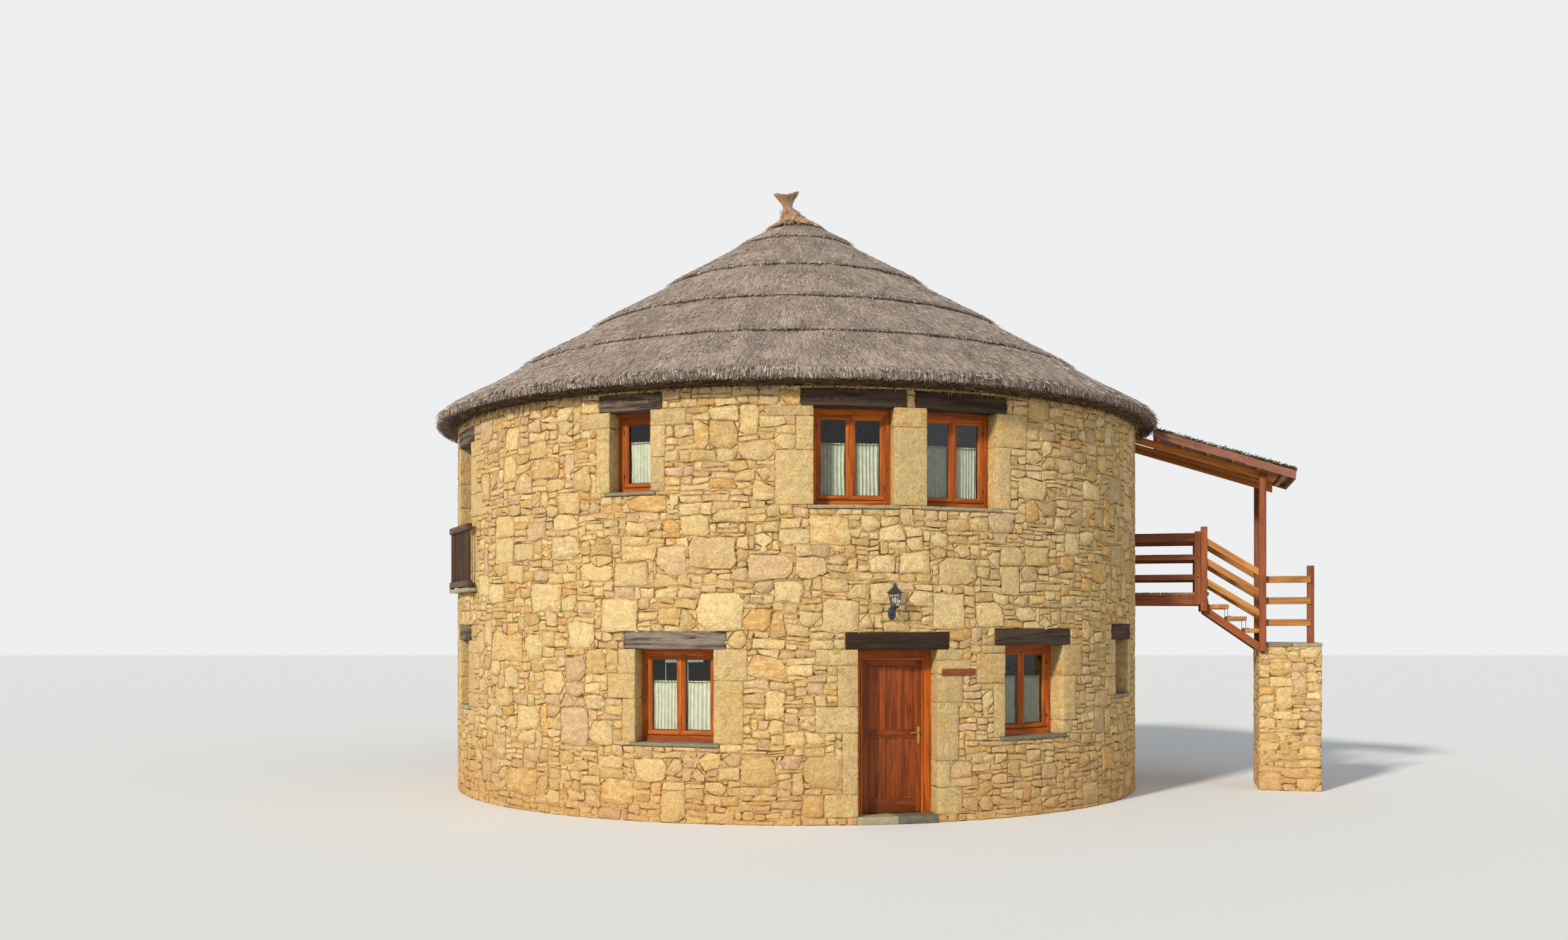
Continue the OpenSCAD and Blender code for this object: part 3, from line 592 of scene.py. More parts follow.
def metal_material(name, base, worn_colour, metallic, rough):
    shader, grain, *_ = new_material(name)
    rub = noise(grain, 60.0, 4.0, 0.6)
    spots = spread(rub, 0.48, 0.68)
    dress(shader, {"Base Color": mix(times(spots, 0.6), hue(*base), hue(*worn_colour)),
                   "Roughness": spread(rub, 0.3, 0.7, rough - 0.1, rough + 0.15),
                   "Metallic": metallic}, rub, 0.15, 0.001)


def glass_material(name, tint, rough):
    """Thin glass, which lets light through to the rooms as plain daylight"""
    shader, _, place, _ = new_material(name)
    tree = shader.id_data
    streaks = noise(stretched(place, 3.0, 3.0, 1.2), 1.0, 2.0)
    dress(shader, {"Base Color": tint, "Transmission Weight": 1.0, "IOR": 1.35,
                   "Roughness": spread(streaks, 0.3, 0.7, rough, rough + 0.05)},
          streaks, 0.03, 0.01)
    clear = put(tree, "BsdfTransparent", {0: (0.86, 0.9, 0.92, 1.0)}).outputs[0]
    ray = put(tree, "LightPath").outputs["Is Shadow Ray"]
    both = put(tree, "MixShader", {0: ray, 1: shader.outputs[0], 2: clear}).outputs[0]
    plug(tree.nodes["Material Output"], {0: both})


def cloth_material(name):
    shader, grain, *_ = new_material(name)
    weave = sums("ADD", noise(stretched(grain, 900.0, 120.0, 120.0), 1.0, 1.0),
                 noise(stretched(grain, 120.0, 900.0, 120.0), 1.0, 1.0))
    soft = spread(noise(grain, 7.0, 3.0), 0.35, 0.7)
    colour = mix(soft, hue(212, 206, 182), hue(184, 179, 152))
    dress(shader, {"Base Color": shade(colour, times(weave, 0.5), 0.94, 1.04),
                   "Roughness": 0.9, "Sheen Weight": 0.3}, weave, 0.25, 0.001)


RUBBLE = [(0.0, 208, 170, 112), (0.14, 226, 190, 126), (0.32, 240, 206, 142),
          (0.50, 246, 216, 156), (0.60, 230, 174, 96), (0.69, 242, 208, 144),
          (0.78, 230, 190, 146), (0.86, 216, 182, 134), (0.94, 244, 212, 152),
          (1.0, 252, 230, 180)]
DRESSED = [(0.0, 200, 170, 116), (0.3, 236, 202, 140), (0.55, 234, 203, 143),
           (0.78, 238, 194, 118), (1.0, 224, 164, 88)]
SLATE = [(0.0, 96, 94, 80), (0.5, 136, 131, 108), (1.0, 170, 162, 128)]
MORTAR = [(0.0, 82, 54, 25), (0.25, 146, 106, 58), (0.55, 204, 164, 102),
          (1.0, 232, 196, 134)]
THATCH = [(0.0, 48, 38, 34), (0.25, 108, 94, 85), (0.5, 165, 147, 133), (0.78, 211, 193, 175),
          (1.0, 246, 231, 211)]
PALE_STRAW = [(0.0, 52, 38, 26), (0.3, 84, 62, 40), (0.55, 162, 130, 84), (0.8, 208, 180, 124),
              (1.0, 232, 210, 160)]
OLD_STRAW = [(0.0, 48, 40, 28), (0.4, 94, 84, 58), (0.75, 130, 118, 84), (1.0, 166, 152, 116)]
TUFT_STRAW = [(0.0, 104, 76, 56), (0.35, 174, 138, 108), (0.75, 216, 182, 146),
              (1.0, 244, 220, 188)]

stone_material("rubble_stone", RUBBLE, 0.10, 0.5, 0.026, earthy=0.4)
stone_material("dressed_stone", DRESSED, 0.22, 0.6, 0.030, mottle=0.6)
stone_material("slate_stone", SLATE, 0.25, 0.4, 0.006, rough=0.7)
stone_material("slate_floor", SLATE, 0.2, 0.4, 0.004, on_cad=True, rough=0.7)
stone_material("mortar", MORTAR, 0.15, 0.8, 0.012, on_cad=True, rough=0.95)

# Timbers: dark, light and faded colour, how far faded, and roughness
timber_material("lintel_oak", (26, 18, 10), (76, 52, 32), (84, 66, 50), 0.2, 0.8,
                fineness=0.8, depth=0.012, silver=(162, 147, 132))
timber_material("joinery", (114, 46, 7), (208, 106, 22), (194, 112, 34), 0.2, 0.5, 0.03)
timber_material("leaf_stain", (84, 32, 5), (158, 74, 16), (146, 78, 28), 0.2, 0.5, 0.03)
timber_material("dark_oak", (54, 38, 28), (98, 72, 54), (110, 92, 76), 0.3, 0.65)
timber_material("post_timber", (100, 48, 24), (162, 88, 48), (150, 102, 68), 0.3, 0.65)
timber_material("rail_timber", (148, 90, 42), (206, 142, 74), (182, 140, 90), 0.4, 0.65)
timber_material("beam_timber", (158, 90, 34), (220, 142, 60), (176, 128, 78), 0.3, 0.62)
timber_material("board_timber", (120, 84, 54), (166, 124, 84), (142, 126, 108), 0.5, 0.7)
timber_material("verge_timber", (112, 66, 52), (168, 108, 88), (168, 132, 114), 0.4, 0.72)
timber_material("floor_boards", (140, 96, 56), (186, 140, 90), (160, 130, 96), 0.2, 0.5,
                on_cad=True)
timber_material("roof_oak", (84, 60, 40), (128, 96, 66), (120, 100, 80), 0.2, 0.7, on_cad=True)

straw_material("thatch_straw", THATCH, 0.10)
straw_material("roll_straw", PALE_STRAW)
straw_material("mossy_straw", OLD_STRAW, 0.55)
straw_material("tuft_straw", TUFT_STRAW)
metal_material("lamp_iron", (48, 50, 54), (92, 94, 96), 0.35, 0.45)
metal_material("handle_brass", (196, 152, 70), (130, 94, 44), 1.0, 0.3)
metal_material("dark_iron", (44, 40, 38), (96, 62, 44), 0.4, 0.6)
glass_material("window_glass", hue(206, 212, 209), 0.0)
glass_material("lamp_pane", hue(232, 236, 238), 0.12)
cloth_material("curtain_cotton")


# The rubble wall: every stone is laid on the unrolled wall, s along it and z up

CELL = 0.025
JOINT = 0.009

# Big stones that stand out in the wall: (s, z, width, height, tone)
NOTABLE = [
    (-3.425, 3.975, .4, .3, .72), (-3.55, 3.4, .5, .3, .97), (-4.875, 3.375, .5, .35, .4),
    (-4.35, 3.4, .45, .225, .3), (-4.075, 3.65, .4, .25, .82), (-3, 3.1, .5, .225, .32),
    (-2.475, 3.025, .5, .3, .36), (-4.525, 3.1, .4, .25, .42), (-3.95, 2.7, .6, .375, .5),
    (-5.1, 2.825, .475, .275, .38), (-2.675, 2.425, .55, .45, .42),
    (-3.25, 2.225, .475, .325, .45),
    (-5, 2.025, .85, .4, .7), (-4.1, 2.05, .375, .35, .4), (-2.95, 1.875, .375, .325, .7),
    (-1.85, 3.175, .4, .325, .8), (-1.425, 3.25, .625, .4, .74), (-.65, 3.1, .575, .325, .8),
    (-.05, 3.1, .425, .275, .77), (-.325, 2.8, .375, .275, .46), (-1.275, 2.45, .575, .475, .44),
    (.125, 3.525, .5, .375, .54), (.275, 2.45, .475, .4, .42), (.875, 3.2, .35, .225, .5),
    (-.6, 4.1, .3, .225, .55), (.9, 2.8, .35, .275, .38), (-1.1, 3.825, .45, .175, .3),
    (-.725, .475, .45, .4, .7), (-2.175, .525, .45, .3, .45), (-1.325, .7, .35, .2, .7),
    (-3.375, .95, .475, .475, .85), (-2.9, .975, .425, .325, .36), (-3.7, 1.6, .425, .325, .72),
    (-4.6, 1.65, .35, .325, .42), (-4.275, 1.1, .5, .35, .48), (-2.7, .225, .5, .3, .56),
    (-4.575, .225, .725, .35, .56), (-4.95, .675, .375, .35, .95), (-5.125, 1.225, .475, .175, 1),
    (1.825, 3.025, .525, .325, .74), (1.275, 3.175, .425, .3, .4), (1.725, 2.475, .475, .45, .42),
    (2.35, 2.5, .45, .3, .3), (2.575, 3.725, .425, .275, .8), (-.575, 2.2, .4, .15, .5),
]


def lay_rubble(length, height, holes, rng, wrap=False):
    """Random rubble brought up in rough beds round the holes: rows of cells (s, z, w, h)"""
    columns, rows = round(length / CELL), round(height / CELL)
    stops = [[] for _ in range(columns)]
    for s0, z0, s1, z1 in holes:
        for c in range(round(s0 / CELL), round(s1 / CELL)):
            if wrap or 0 <= c < columns:
                stops[c % columns].append((round(z0 / CELL), round(z1 / CELL)))
    level = np.zeros(columns, int)

    def lift(c):
        moved = True
        while moved:
            moved = False
            for low, high in stops[c]:
                if low <= level[c] < high:
                    level[c], moved = high, True

    def room_above(c):
        return min([low for low, high in stops[c] if low >= level[c]] + [rows]) - level[c]

    for c in range(columns):
        lift(c)
    laid = []
    while True:
        start = int(np.argmin(level))
        z = level[start]
        if z >= rows:
            return laid
        first, last = start, start + 1
        while last - first < 60 and (wrap or first > 0) and level[(first - 1) % columns] == z:
            first -= 1
        while last - first < 60 and (wrap or last < columns) and level[last % columns] == z:
            last += 1
        run = last - first
        kind = rng.random()
        if kind < 0.05:
            w, h = rng.integers(13, 23), rng.integers(9, 17)
        elif kind < 0.24:
            w, h = rng.integers(8, 15), rng.integers(5, 9)
        else:
            w, h = rng.integers(4, 14), rng.integers(2, 6)
        w = min(w, run)
        if run - w < 4:
            w = run if run <= 22 else w - 4
        at = first if rng.random() < 0.5 else last - w
        cells = [(at + i) % columns for i in range(w)]
        room = min(room_above(c) for c in cells)
        if w <= 5:
            h = min(h, 6)
        h = min(h, room)
        beside = [level[c % columns] - z for c in (at - 1, at + w) if wrap or 0 <= c < columns]
        near = [d for d in beside if 0 < d <= room and abs(d - h) <= 2]
        if near and rng.random() < 0.55:
            h = near[0]
        if 0 < room - h < 3:
            h = room if room <= h + 2 and room < 10 else max(h - 2, 1)
        laid.append((at, z, w, h, None))
        for c in cells:
            level[c] = z + h
            lift(c)


def shaped(laid, marks, columns, settle, rng):
    """Stones of many shapes from the laid cells: rows of (corners, tone). Corners that
    stones share wander together, and big stones lose some corners to chips."""
    spots = {(x % columns, y) for c, r, w, h, _ in laid for x in (c, c + w) for y in (r, r + h)}
    spots |= {(x % columns, y) for x, y in marks}
    walks, room = [], {}
    for c, r, w, h, _ in laid:
        walk = [(x, r) for x in range(c, c + w)] + [(c + w, y) for y in range(r, r + h)] \
            + [(x, r + h) for x in range(c + w, c, -1)] + [(c, y) for y in range(r + h, r, -1)]
        walk = [p for p in walk if (p[0] % columns, p[1]) in spots]
        walks.append(walk)
        for a, b in zip(walk, walk[1:] + walk[:1]):
            gap = min(abs(a[0] - b[0]) + abs(a[1] - b[1]), 0.8 * w, 0.8 * h, 4.5)
            for x, y in (a, b):
                room[x % columns, y] = min(room.get((x % columns, y), 9), gap)
    drift = {}
    for key, gap in room.items():
        turn, far = rng.uniform(0, 6.283), 0.44 * CELL * gap * math.sqrt(rng.random())
        drift[key] = far * math.cos(turn), far * math.sin(turn)
    points = settle(np.array([p for walk in walks for p in walk]) * CELL,
                    np.array([drift[x % columns, y] for walk in walks for x, y in walk]))
    stones, start = [], 0
    for walk, (c, r, w, h, tone) in zip(walks, laid):
        ring = points[start:start + len(walk)]
        start += len(walk)
        kept = []
        for k, p in enumerate(ring):
            true = walk[k][0] in (c, c + w) and walk[k][1] in (r, r + h)
            if not (true and min(w, h) >= 7 and rng.random() < 0.6):
                kept.append(p)
                continue
            first, last = (
                p + (q - p) * min(0.8, rng.uniform(0.05, 0.15) / max(np.linalg.norm(q - p), 0.01))
                for q in (ring[k - 1], ring[(k + 1) % len(ring)]))
            kept += [first, last]
            stones.append((np.array([first, p, last]), None))
        stones.append((np.array(kept), tone))
    return stones


def inwards(ring):
    """The way in from each point of an outline that runs anticlockwise"""
    ahead = np.roll(ring, -1, 0) - ring
    ahead /= np.linalg.norm(ahead, axis=1, keepdims=True) + 1e-9
    left = np.stack([-ahead[:, 1], ahead[:, 0]], 1)
    back = np.roll(left, 1, 0)
    return (left + back) / np.maximum(1 + (left * back).sum(1, keepdims=True), 0.6)


def eased(corners, radius, span, fine):
    """The outline with rounded corners, and points no further apart than span"""
    out = []
    corners = corners.tolist()
    for k, (x, y) in enumerate(corners):
        (x0, y0), (x1, y1) = corners[k - 1], corners[(k + 1) % len(corners)]
        a, b = math.hypot(x0 - x, y0 - y) + 1e-9, math.hypot(x1 - x, y1 - y) + 1e-9
        if ((x0 - x) * (x1 - x) + (y0 - y) * (y1 - y)) / a / b < -0.93:
            out.append((x, y))
            continue
        t = min(radius[k], 0.4 * a, 0.4 * b)
        first = x + (x0 - x) / a * t, y + (y0 - y) / a * t
        last = x + (x1 - x) / b * t, y + (y1 - y) / b * t
        out.append(first)
        if fine:
            out.append((0.25 * (first[0] + last[0]) + 0.5 * x,
                        0.25 * (first[1] + last[1]) + 0.5 * y))
        out.append(last)
    full = []
    for (x0, y0), (x1, y1) in zip(out, out[1:] + out[:1]):
        n = max(1, round(math.hypot(x1 - x0, y1 - y0) / span))
        full += [(x0 + (x1 - x0) * i / n, y0 + (y1 - y0) * i / n) for i in range(n)]
    return np.array(full)


def stone_mesh(heap, stones, to_world, still, proud):
    """Adds these stones. to_world(s, z, height) places their points and still(s, z) is 0
    where joints stay straight and 1 where they wander."""
    rng = heap.rng
    flat, ups, softs, sizes, tones = [], [], [], [], []
    for corners, tone in stones:
        x, y = corners.T
        area = 0.5 * abs(x @ np.roll(y, -1) - y @ np.roll(x, -1))
        least = area / max(np.ptp(x), np.ptp(y))
        if least < 0.016:
            continue
        joint = JOINT * rng.uniform(0.55, 1.35)
        ring = corners + inwards(corners) * joint / 2
        fine = least > 0.12
        ring = eased(ring, rng.uniform(0.08, 0.34, len(ring)) * min(least, 0.16), 0.14, fine)
        n = len(ring)
        ring = ring + inwards(ring) * rng.uniform(-0.2, 1, n)[:, None] * min(0.009, least * 0.08)
        way, middle = inwards(ring), ring.mean(0)
        up, tilt = rng.uniform(*proud), rng.normal(0, 0.010, 2)
        top = ring + way * min(0.006, least * 0.13)
        rings = [ring, ring + way * 0.0015, top, middle + (top - middle) * 0.55]
        levels = [-0.004, up * 0.5, up * 0.92, up * 1.06]
        picked = (0, 1, 2, 3) if least > 0.17 else (0, 1, 2) if fine else (0, 2)
        rings, levels = [rings[k] for k in picked], [levels[k] for k in picked]
        steps = len(rings)
        xy = np.concatenate(rings + [middle[None]])
        height = np.concatenate([np.full(n, u) for u in levels] + [[up * 1.08]])
        soft = np.concatenate([np.full(n, (0, 0.4, 1, 1)[k]) for k in picked] + [[1.0]])
        # Painted shade and grime: each stone's edge ring is darkened by a random amount, and most
        # on its lower and right sides, where shadow falls in the joints
        lit = np.clip(rng.uniform(0.2, 0.95) + 0.4 * (way @ [0.5, -0.8]), 0, 1)
        edge_shade_and_grime = [0.5 * lit, lit, 0.75 + 0.25 * lit, np.ones(n)]
        edge_shade_and_grime = np.concatenate([edge_shade_and_grime[k] for k in picked] + [[1.0]])
        i = np.arange(n)
        rim = (steps - 1) * n
        faces = [joined(steps, n), xyz(rim + i, rim + (i + 1) % n, steps * n), i[None, ::-1]]
        flat.append(xy)
        ups.append(height + soft * ((xy - middle) @ tilt))
        softs.append(soft)
        sizes.append((len(xy), faces))
        tones.append(xyz(rng.random() if tone is None else tone, rng.random(), edge_shade_and_grime))
    s, z = np.concatenate(flat).T
    up, soft = np.concatenate(ups), np.concatenate(softs)
    base = to_world(s, z, np.zeros(len(s)))
    loose = still(s, z)
    s = s + loose * (0.016 * wobble(base, 0.33, 3) + 0.008 * wobble(base, 0.10, 4))
    z = z + loose * (0.018 * wobble(base, 0.40, 5) + 0.010 * wobble(base, 0.11, 6))
    up = up + soft * (0.0045 * wobble(base, 0.09, 7) + 0.003 * wobble(base, 0.035, 8))
    p = to_world(s, np.maximum(z, 0.0), up)
    start = 0
    for (n, faces), tone in zip(sizes, tones):
        heap.add(p[start:start + n], faces, None, tone)
        start += n


def polar(r, a, z):
    """Points at radius r and angle a from the front, with z up"""
    return xyz(r * np.sin(a), -r * np.cos(a), z)


def round_wall(s, z, height):
    return polar(WALL_R + height, s / WALL_R, z)


def wall_face(x, out=0.0):
    """How far the round face that stands out of the wall by that much is from the axis,
    at x to the side of a place's middle"""
    return np.sqrt((WALL_R + out) ** 2 - x ** 2)


def on_wall(x, p, out):
    """Points moved back from straight onto the round face"""
    return xyz(x, p[:, 1] - wall_face(x, out), p[:, 2])


def unrolled(angle, x):
    return WALL_R * (math.radians(angle) + math.asin(x / WALL_R))


# Dressed stones beside each opening, from its head down: (width, height)
JAMBS = {
    "upper_a": ([(0.45, 0.20), (0.20, 0.85)], [(0.48, 0.21), (0.20, 0.40), (0.19, 0.44)]),
    "upper_b": ([(0.60, 0.13), (0.21, 0.43), (0.47, 0.69)], [(0.428, 0.25), (0.428, 1.00)]),
    "upper_c": ([], [(0.50, 0.44), (0.22, 0.81)]),
    "lower_b": ([(0.24, 0.32), (0.40, 0.32), (0.18, 0.56)], [(0.42, 0.40), (0.37, 0.80)]),
    "lower_c": ([(0.36, 0.10), (0.44, 0.39), (0.18, 0.71)],
                [(0.43, 0.42), (0.29, 0.60), (0.20, 0.18)]),
    "front_door": ([(0.52, 0.20), (0.25, 0.52), (0.53, 0.33), (0.19, 0.78), (0.42, 0.285)],
                   [(0.35, 0.14), (0.46, 0.18), (0.35, 0.36), (0.29, 0.75), (0.17, 0.34),
                    (0.34, 0.345)]),
}


def jamb_pattern(name, height, rng):
    """The dressed stones of one opening: those measured, or ones laid long and short"""
    if name in JAMBS:
        return JAMBS[name]
    sides = []
    for _ in range(2):
        left, stones, long = height, [], rng.random() < 0.5
        while left > 0:
            h = rng.uniform(0.18, 0.36) if long else rng.uniform(0.32, 0.62)
            h = left if left - h < 0.16 else h
            stones.append((rng.uniform(0.34, 0.48) if long else rng.uniform(0.18, 0.26), h))
            left -= h
            long = not long
        sides.append(stones)
    return sides


# All openings: name, angle, width, foot, head, sill, depth of the reveal
openings = [(*row[:5], SILL_T, REVEAL) for row in WINDOWS] \
    + [(*row, 0.0, REVEAL + (DOOR_SET_BACK if row[0] == "front_door" else 0)) for row in TALL]
BED = 0.006
PIER_A, PIER_W = 15.25, 0.428

jambs = Heap(11)
holes = []


def hole(angle, left, low, right, high):
    """Keeps the rubble out of a rectangle at an opening"""
    holes.append((unrolled(angle, left), low, unrolled(angle, right), high))


for name, angle, width, foot, head, sill, depth in openings:
    half = width / 2
    hole(angle, -half, foot - sill, half, head + LINTEL_H)
    hole(angle, -half - LINTEL_BEAR, head, half + LINTEL_BEAR, head + LINTEL_H)
    if sill:
        hole(angle, -half - 0.07, foot - sill, half + 0.07, foot)
    for side, stones in zip((-1, 1), jamb_pattern(name, head - foot, jambs.rng)):
        top = head
        for w, h in stones:
            left = half if side > 0 else -half - w
            hole(angle, left, top - h, half + w if side > 0 else -half, top)
            pier = name == "upper_b" and side > 0

            def curve(p, share, left=left - BED * (side > 0), pier=pier, angle=angle,
                      proud=jambs.rng.uniform(0.008, 0.014)):
                x = p[:, 0] + left
                if pier:
                    x = WALL_R * math.sin(math.radians(PIER_A - angle)) \
                        + (share[:, 0] - 0.5) * (PIER_W + 2 * BED)
                return on_wall(x, p, proud)

            block(jambs, facing(angle, (0, 0, top - h + BED / 2)),
                  (w + BED, depth + 0.008, h - BED), edge=0.012, step=0.075, rough=0.005,
                  lump=0.055, shape=curve, tone=(*jambs.rng.random(2), 1.0))
            top -= h
# The rubble also leaves room for the French window's slab
slab_s = WALL_R * math.radians(TALL[0][1])
holes.append((slab_s - 0.69, 3.0, slab_s + 0.69, 3.075))
piece("dressed_jambs", jambs, "dressed_stone", sharp=50)

edges = np.array(holes)
whole_turn = 2 * math.pi * WALL_R


def away_from_holes(s, z):
    """0 at the edge of a dressed stone, lintel or sill, 1 in the open wall"""
    gap = np.minimum(z, WALL_H - z)
    for s0, z0, s1, z1 in edges:
        for turn in (-whole_turn, 0, whole_turn):
            ds = np.maximum(np.maximum(s0 + turn - s, s - s1 - turn), 0)
            dz = np.maximum(np.maximum(z0 - z, z - z1), 0)
            gap = np.minimum(gap, np.hypot(ds, dz))
    return np.clip((gap - 0.006) / 0.07, 0, 1)


def settle(points, shift):
    """Moves the corners near a hole onto its true edge, and lets the others wander"""
    s, z = points.T.copy()
    for s0, z0, s1, z1 in edges:
        for turn in (-whole_turn, 0, whole_turn):
            a, b = s0 + turn, s1 + turn
            tall = (z > z0 - 0.6 * CELL) & (z < z1 + 0.6 * CELL)
            wide = (s > a - 0.6 * CELL) & (s < b + 0.6 * CELL)
            for edge in (a, b):
                s = np.where(tall & (np.abs(s - edge) < 0.8 * CELL), edge, s)
            for edge in (z0, z1):
                z = np.where(wide & (np.abs(z - edge) < 0.8 * CELL), edge, z)
    return np.stack([s, z], 1) + shift * away_from_holes(s, z)[:, None]


wall_rng = np.random.default_rng(5)
around = [(h[0] % whole_turn, h[1], h[0] % whole_turn + h[2] - h[0], h[3]) for h in holes]
pinned = [(s % whole_turn, z, s % whole_turn + w, z + h) for s, z, w, h, _ in NOTABLE]
laid = lay_rubble(whole_turn, WALL_H, around + pinned, wall_rng, True)
for *box, (*_, tone) in zip(pinned, NOTABLE):
    s0, z0, s1, z1 = (round(value / CELL) for value in box[0])
    laid.append((s0, z0, s1 - s0, z1 - z0, tone))
marks = [(round(s / CELL), round(z / CELL)) for s0, z0, s1, z1 in around for s in (s0, s1)
         for z in (z0, z1)]
rubble = shaped(laid, marks, round(whole_turn / CELL), settle, wall_rng)
middle = np.degrees(np.array([corners[:, 0].mean() for corners, _ in rubble]) / WALL_R)
middle = (middle + 180) % 360 - 180
SEGMENTS = [("front_left", -48, 13.55), ("front_right", 13.55, 50), ("right", 50, 105),
            ("back_right", 105, 167), ("back", 167, 240), ("left", -120, -48)]
for name, low, high in SEGMENTS:
    inside = (middle >= low) & (middle < high)
    if high > 180:
        inside = (middle >= low) | (middle < high - 360)
    heap = Heap(20 + len(name))
    stone_mesh(heap, [stone for stone, there in zip(rubble, inside) if there], round_wall,
               away_from_holes, (0.006, 0.015))
    piece("rubble_" + name, heap, "rubble_stone", sharp=50)

repaint("mortar", "wall_front_left", "wall_over_door", "wall_front_right", "wall_right",
        "wall_back_right", "wall_back", "wall_left", "abutment_wall")


# Lintels, sills and the threshold

# How silvered and how bright each lintel in the photograph is; the brightness partly stands in for
# painted shade, as for lower_c's lintel, which is in shadow
LINTEL_TONE_AND_SHADE = {"upper_a": (0.4, 1.0), "upper_b": (0.1, 0.4), "upper_c": (0.05, 0.4),
                "lower_b": (0.8, 0.6), "front_door": (0.0, 0.0), "lower_c": (0.1, 0.2)}
SILL_OUT = 0.028
lintels = Heap(31)
sills = Heap(32)


def lintel_curve(p, share):
    belly = 0.010 * np.sin(share[:, 0] * math.pi) * (share[:, 2] - 0.5)
    return on_wall(p[:, 0], p + np.outer(belly, (0, 0, 1)), 0.010)


def sill_curve(p, share):
    x = p[:, 0]
    ripple = 0.006 * wobble(xyz(x, 0, 3), 0.09, 2) * (1 - share[:, 1])
    return xyz(x, ripple - wall_face(x, SILL_OUT) + p[:, 1], p[:, 2])


for name, angle, width, foot, head, sill, depth in openings:
    block(lintels, facing(angle, (0, 0, head + 0.003)),
          (width + 2 * LINTEL_BEAR - 0.012, 0.33, LINTEL_H - 0.01), edge=0.012, step=0.07,
          rough=0.006, lump=0.16, shape=lintel_curve, centred="x",
          tone=(*LINTEL_TONE_AND_SHADE.get(name, (lintels.rng.random() * 0.6, lintels.rng.random())), 0))
    if sill:
        block(sills, facing(angle, (0, 0, foot - SILL_T + 0.002)),
              (width + 0.13, REVEAL + FRAME_T + 0.026, SILL_T - 0.003), edge=0.008, step=0.06,
              rough=0.004, lump=0.09, shape=sill_curve, centred="x")
door_angle, door_w, door_foot = TALL[2][1:4]
for left in (-door_w / 2, 0):
    block(sills, facing(door_angle), (door_w / 2 - 0.006, 0.56, door_foot), edge=0.010,
          step=0.08, rough=0.004,
          shape=lambda p, share: on_wall(p[:, 0] + left, p, SILL_OUT))
piece("oak_lintels", lintels, "lintel_oak", replaces="lintels", sharp=50)
piece("slate_sills", sills, "slate_stone", replaces="sills", sharp=50)


# Thatch

def cone_z(r):
    return APEX_Z - PITCH * np.asarray(r, float)


SLOPE = math.hypot(1, PITCH)


def swell(a, r, down, seed):
    """How far the thatch of a course stands out of true, at an angle from the back"""
    arc = a * r
    flat = xyz(arc * 7, down * 1.1, seed)
    wide = xyz(arc, down * 0.8, seed + 5.0)
    out = 0.007 * wobble(flat, 0.8, 1) + 0.016 * wobble(wide, 0.5, 2)
    return out * np.clip(np.minimum(a, 2 * math.pi - a) * r / 0.4, 0, 1)


def straw_ring(heap, profile, columns, seed):
    """A closed ring of thatch. The profile gives points of (radius, z, looseness),
    where looseness says how far the straw there stands out of true; where it is low,
    under the lips and on the underside, the straw is also painted dark as shade."""
    profile = np.array(profile, float)
    r, z, loose = profile.T
    a = np.linspace(0, 2 * math.pi, columns, endpoint=False)
    step = np.roll(profile[:, :2], -1, 0) - np.roll(profile[:, :2], 1, 0)
    normal = np.stack([step[:, 1], -step[:, 0]], 1)
    normal /= np.linalg.norm(normal, axis=1, keepdims=True)
    down = np.concatenate([[0], np.cumsum(np.hypot(*np.diff(profile[:, :2], axis=0).T))])
    run, drop = (grid.ravel() for grid in np.meshgrid(a * r[0], down, indexing="ij"))
    out = swell(run / r[0], r[0], drop, seed) * np.tile(loose, columns)
    out = out.reshape(columns, -1)
    p = polar(r + out * normal[:, 0], a[:, None] + math.pi, z + out * normal[:, 1])
    # Painted shade: the mat is a little darker than the straws laid on it, as shade between them,
    # and darker still where the looseness is low, under the lips and on the underside
    patch_and_lip_shade = np.clip(0.42 + 0.2 * wobble(xyz(run, drop * 0.8, seed + 5.0), 0.25, 9), 0, 1) \
        * np.tile(np.clip((loose - 0.25) / 0.7, 0, 1), columns)
    heap.add(p.reshape(-1, 3), joined(columns, len(r), ring=True)[:, [0, 3, 2, 1]],
             xyz(drop, run, seed), xyz(patch_and_lip_shade, patch_and_lip_shade, patch_and_lip_shade))


def straws(heap, n, r_range, surface, length, width, lift, bright, stray=0.10, steep=None,
           course=None):
    """Short straws lying down the slope between two radii, on the swell of their course.
    stray is how far they point aside, and steep their fall where it isn't the roof's."""
    rng = heap.rng
    low, high = r_range
    r = np.sqrt(rng.uniform(low ** 2, high ** 2, n))
    a = rng.uniform(0, 2 * math.pi, n)
    yaw = rng.normal(0, stray, n)
    radial = polar(1, a, 0)
    tangent = xyz(np.cos(a), np.sin(a), 0)
    up = np.array([0, 0, 1.0])
    slope = (np.full(n, PITCH) if steep is None else rng.uniform(*steep, n))[:, None]
    fall = (radial - slope * up) / np.hypot(1, slope)
    normal = (slope * radial + up) / np.hypot(1, slope)
    way = fall * np.cos(yaw)[:, None] + tangent * np.sin(yaw)[:, None]
    reach = rng.uniform(*length, n)
    sunk = np.full(n, 0.006)
    if course:
        start, seed = course
        sunk -= swell((a + math.pi) % (2 * math.pi), start,
                      np.hypot(start - r, surface(r) - surface(start)), seed)
    root = polar(r, a, surface(r)) - normal * sunk[:, None]
    rise = rng.uniform(*lift, n)[:, None]
    tip = root + way * reach[:, None] + normal * (rise + 0.004)
    wide = rng.uniform(*width, n)
    clump = wobble(xyz(a * r, r * 0.3, low), 0.06, 2)
    tones = np.clip(rng.normal(bright, 0.31, n) + 0.50 * clump, 0, 1)
    blades(heap, root, tip, np.cross(way, normal), wide, normal * wide[:, None] * 0.35, tones,
           closed=course is None)


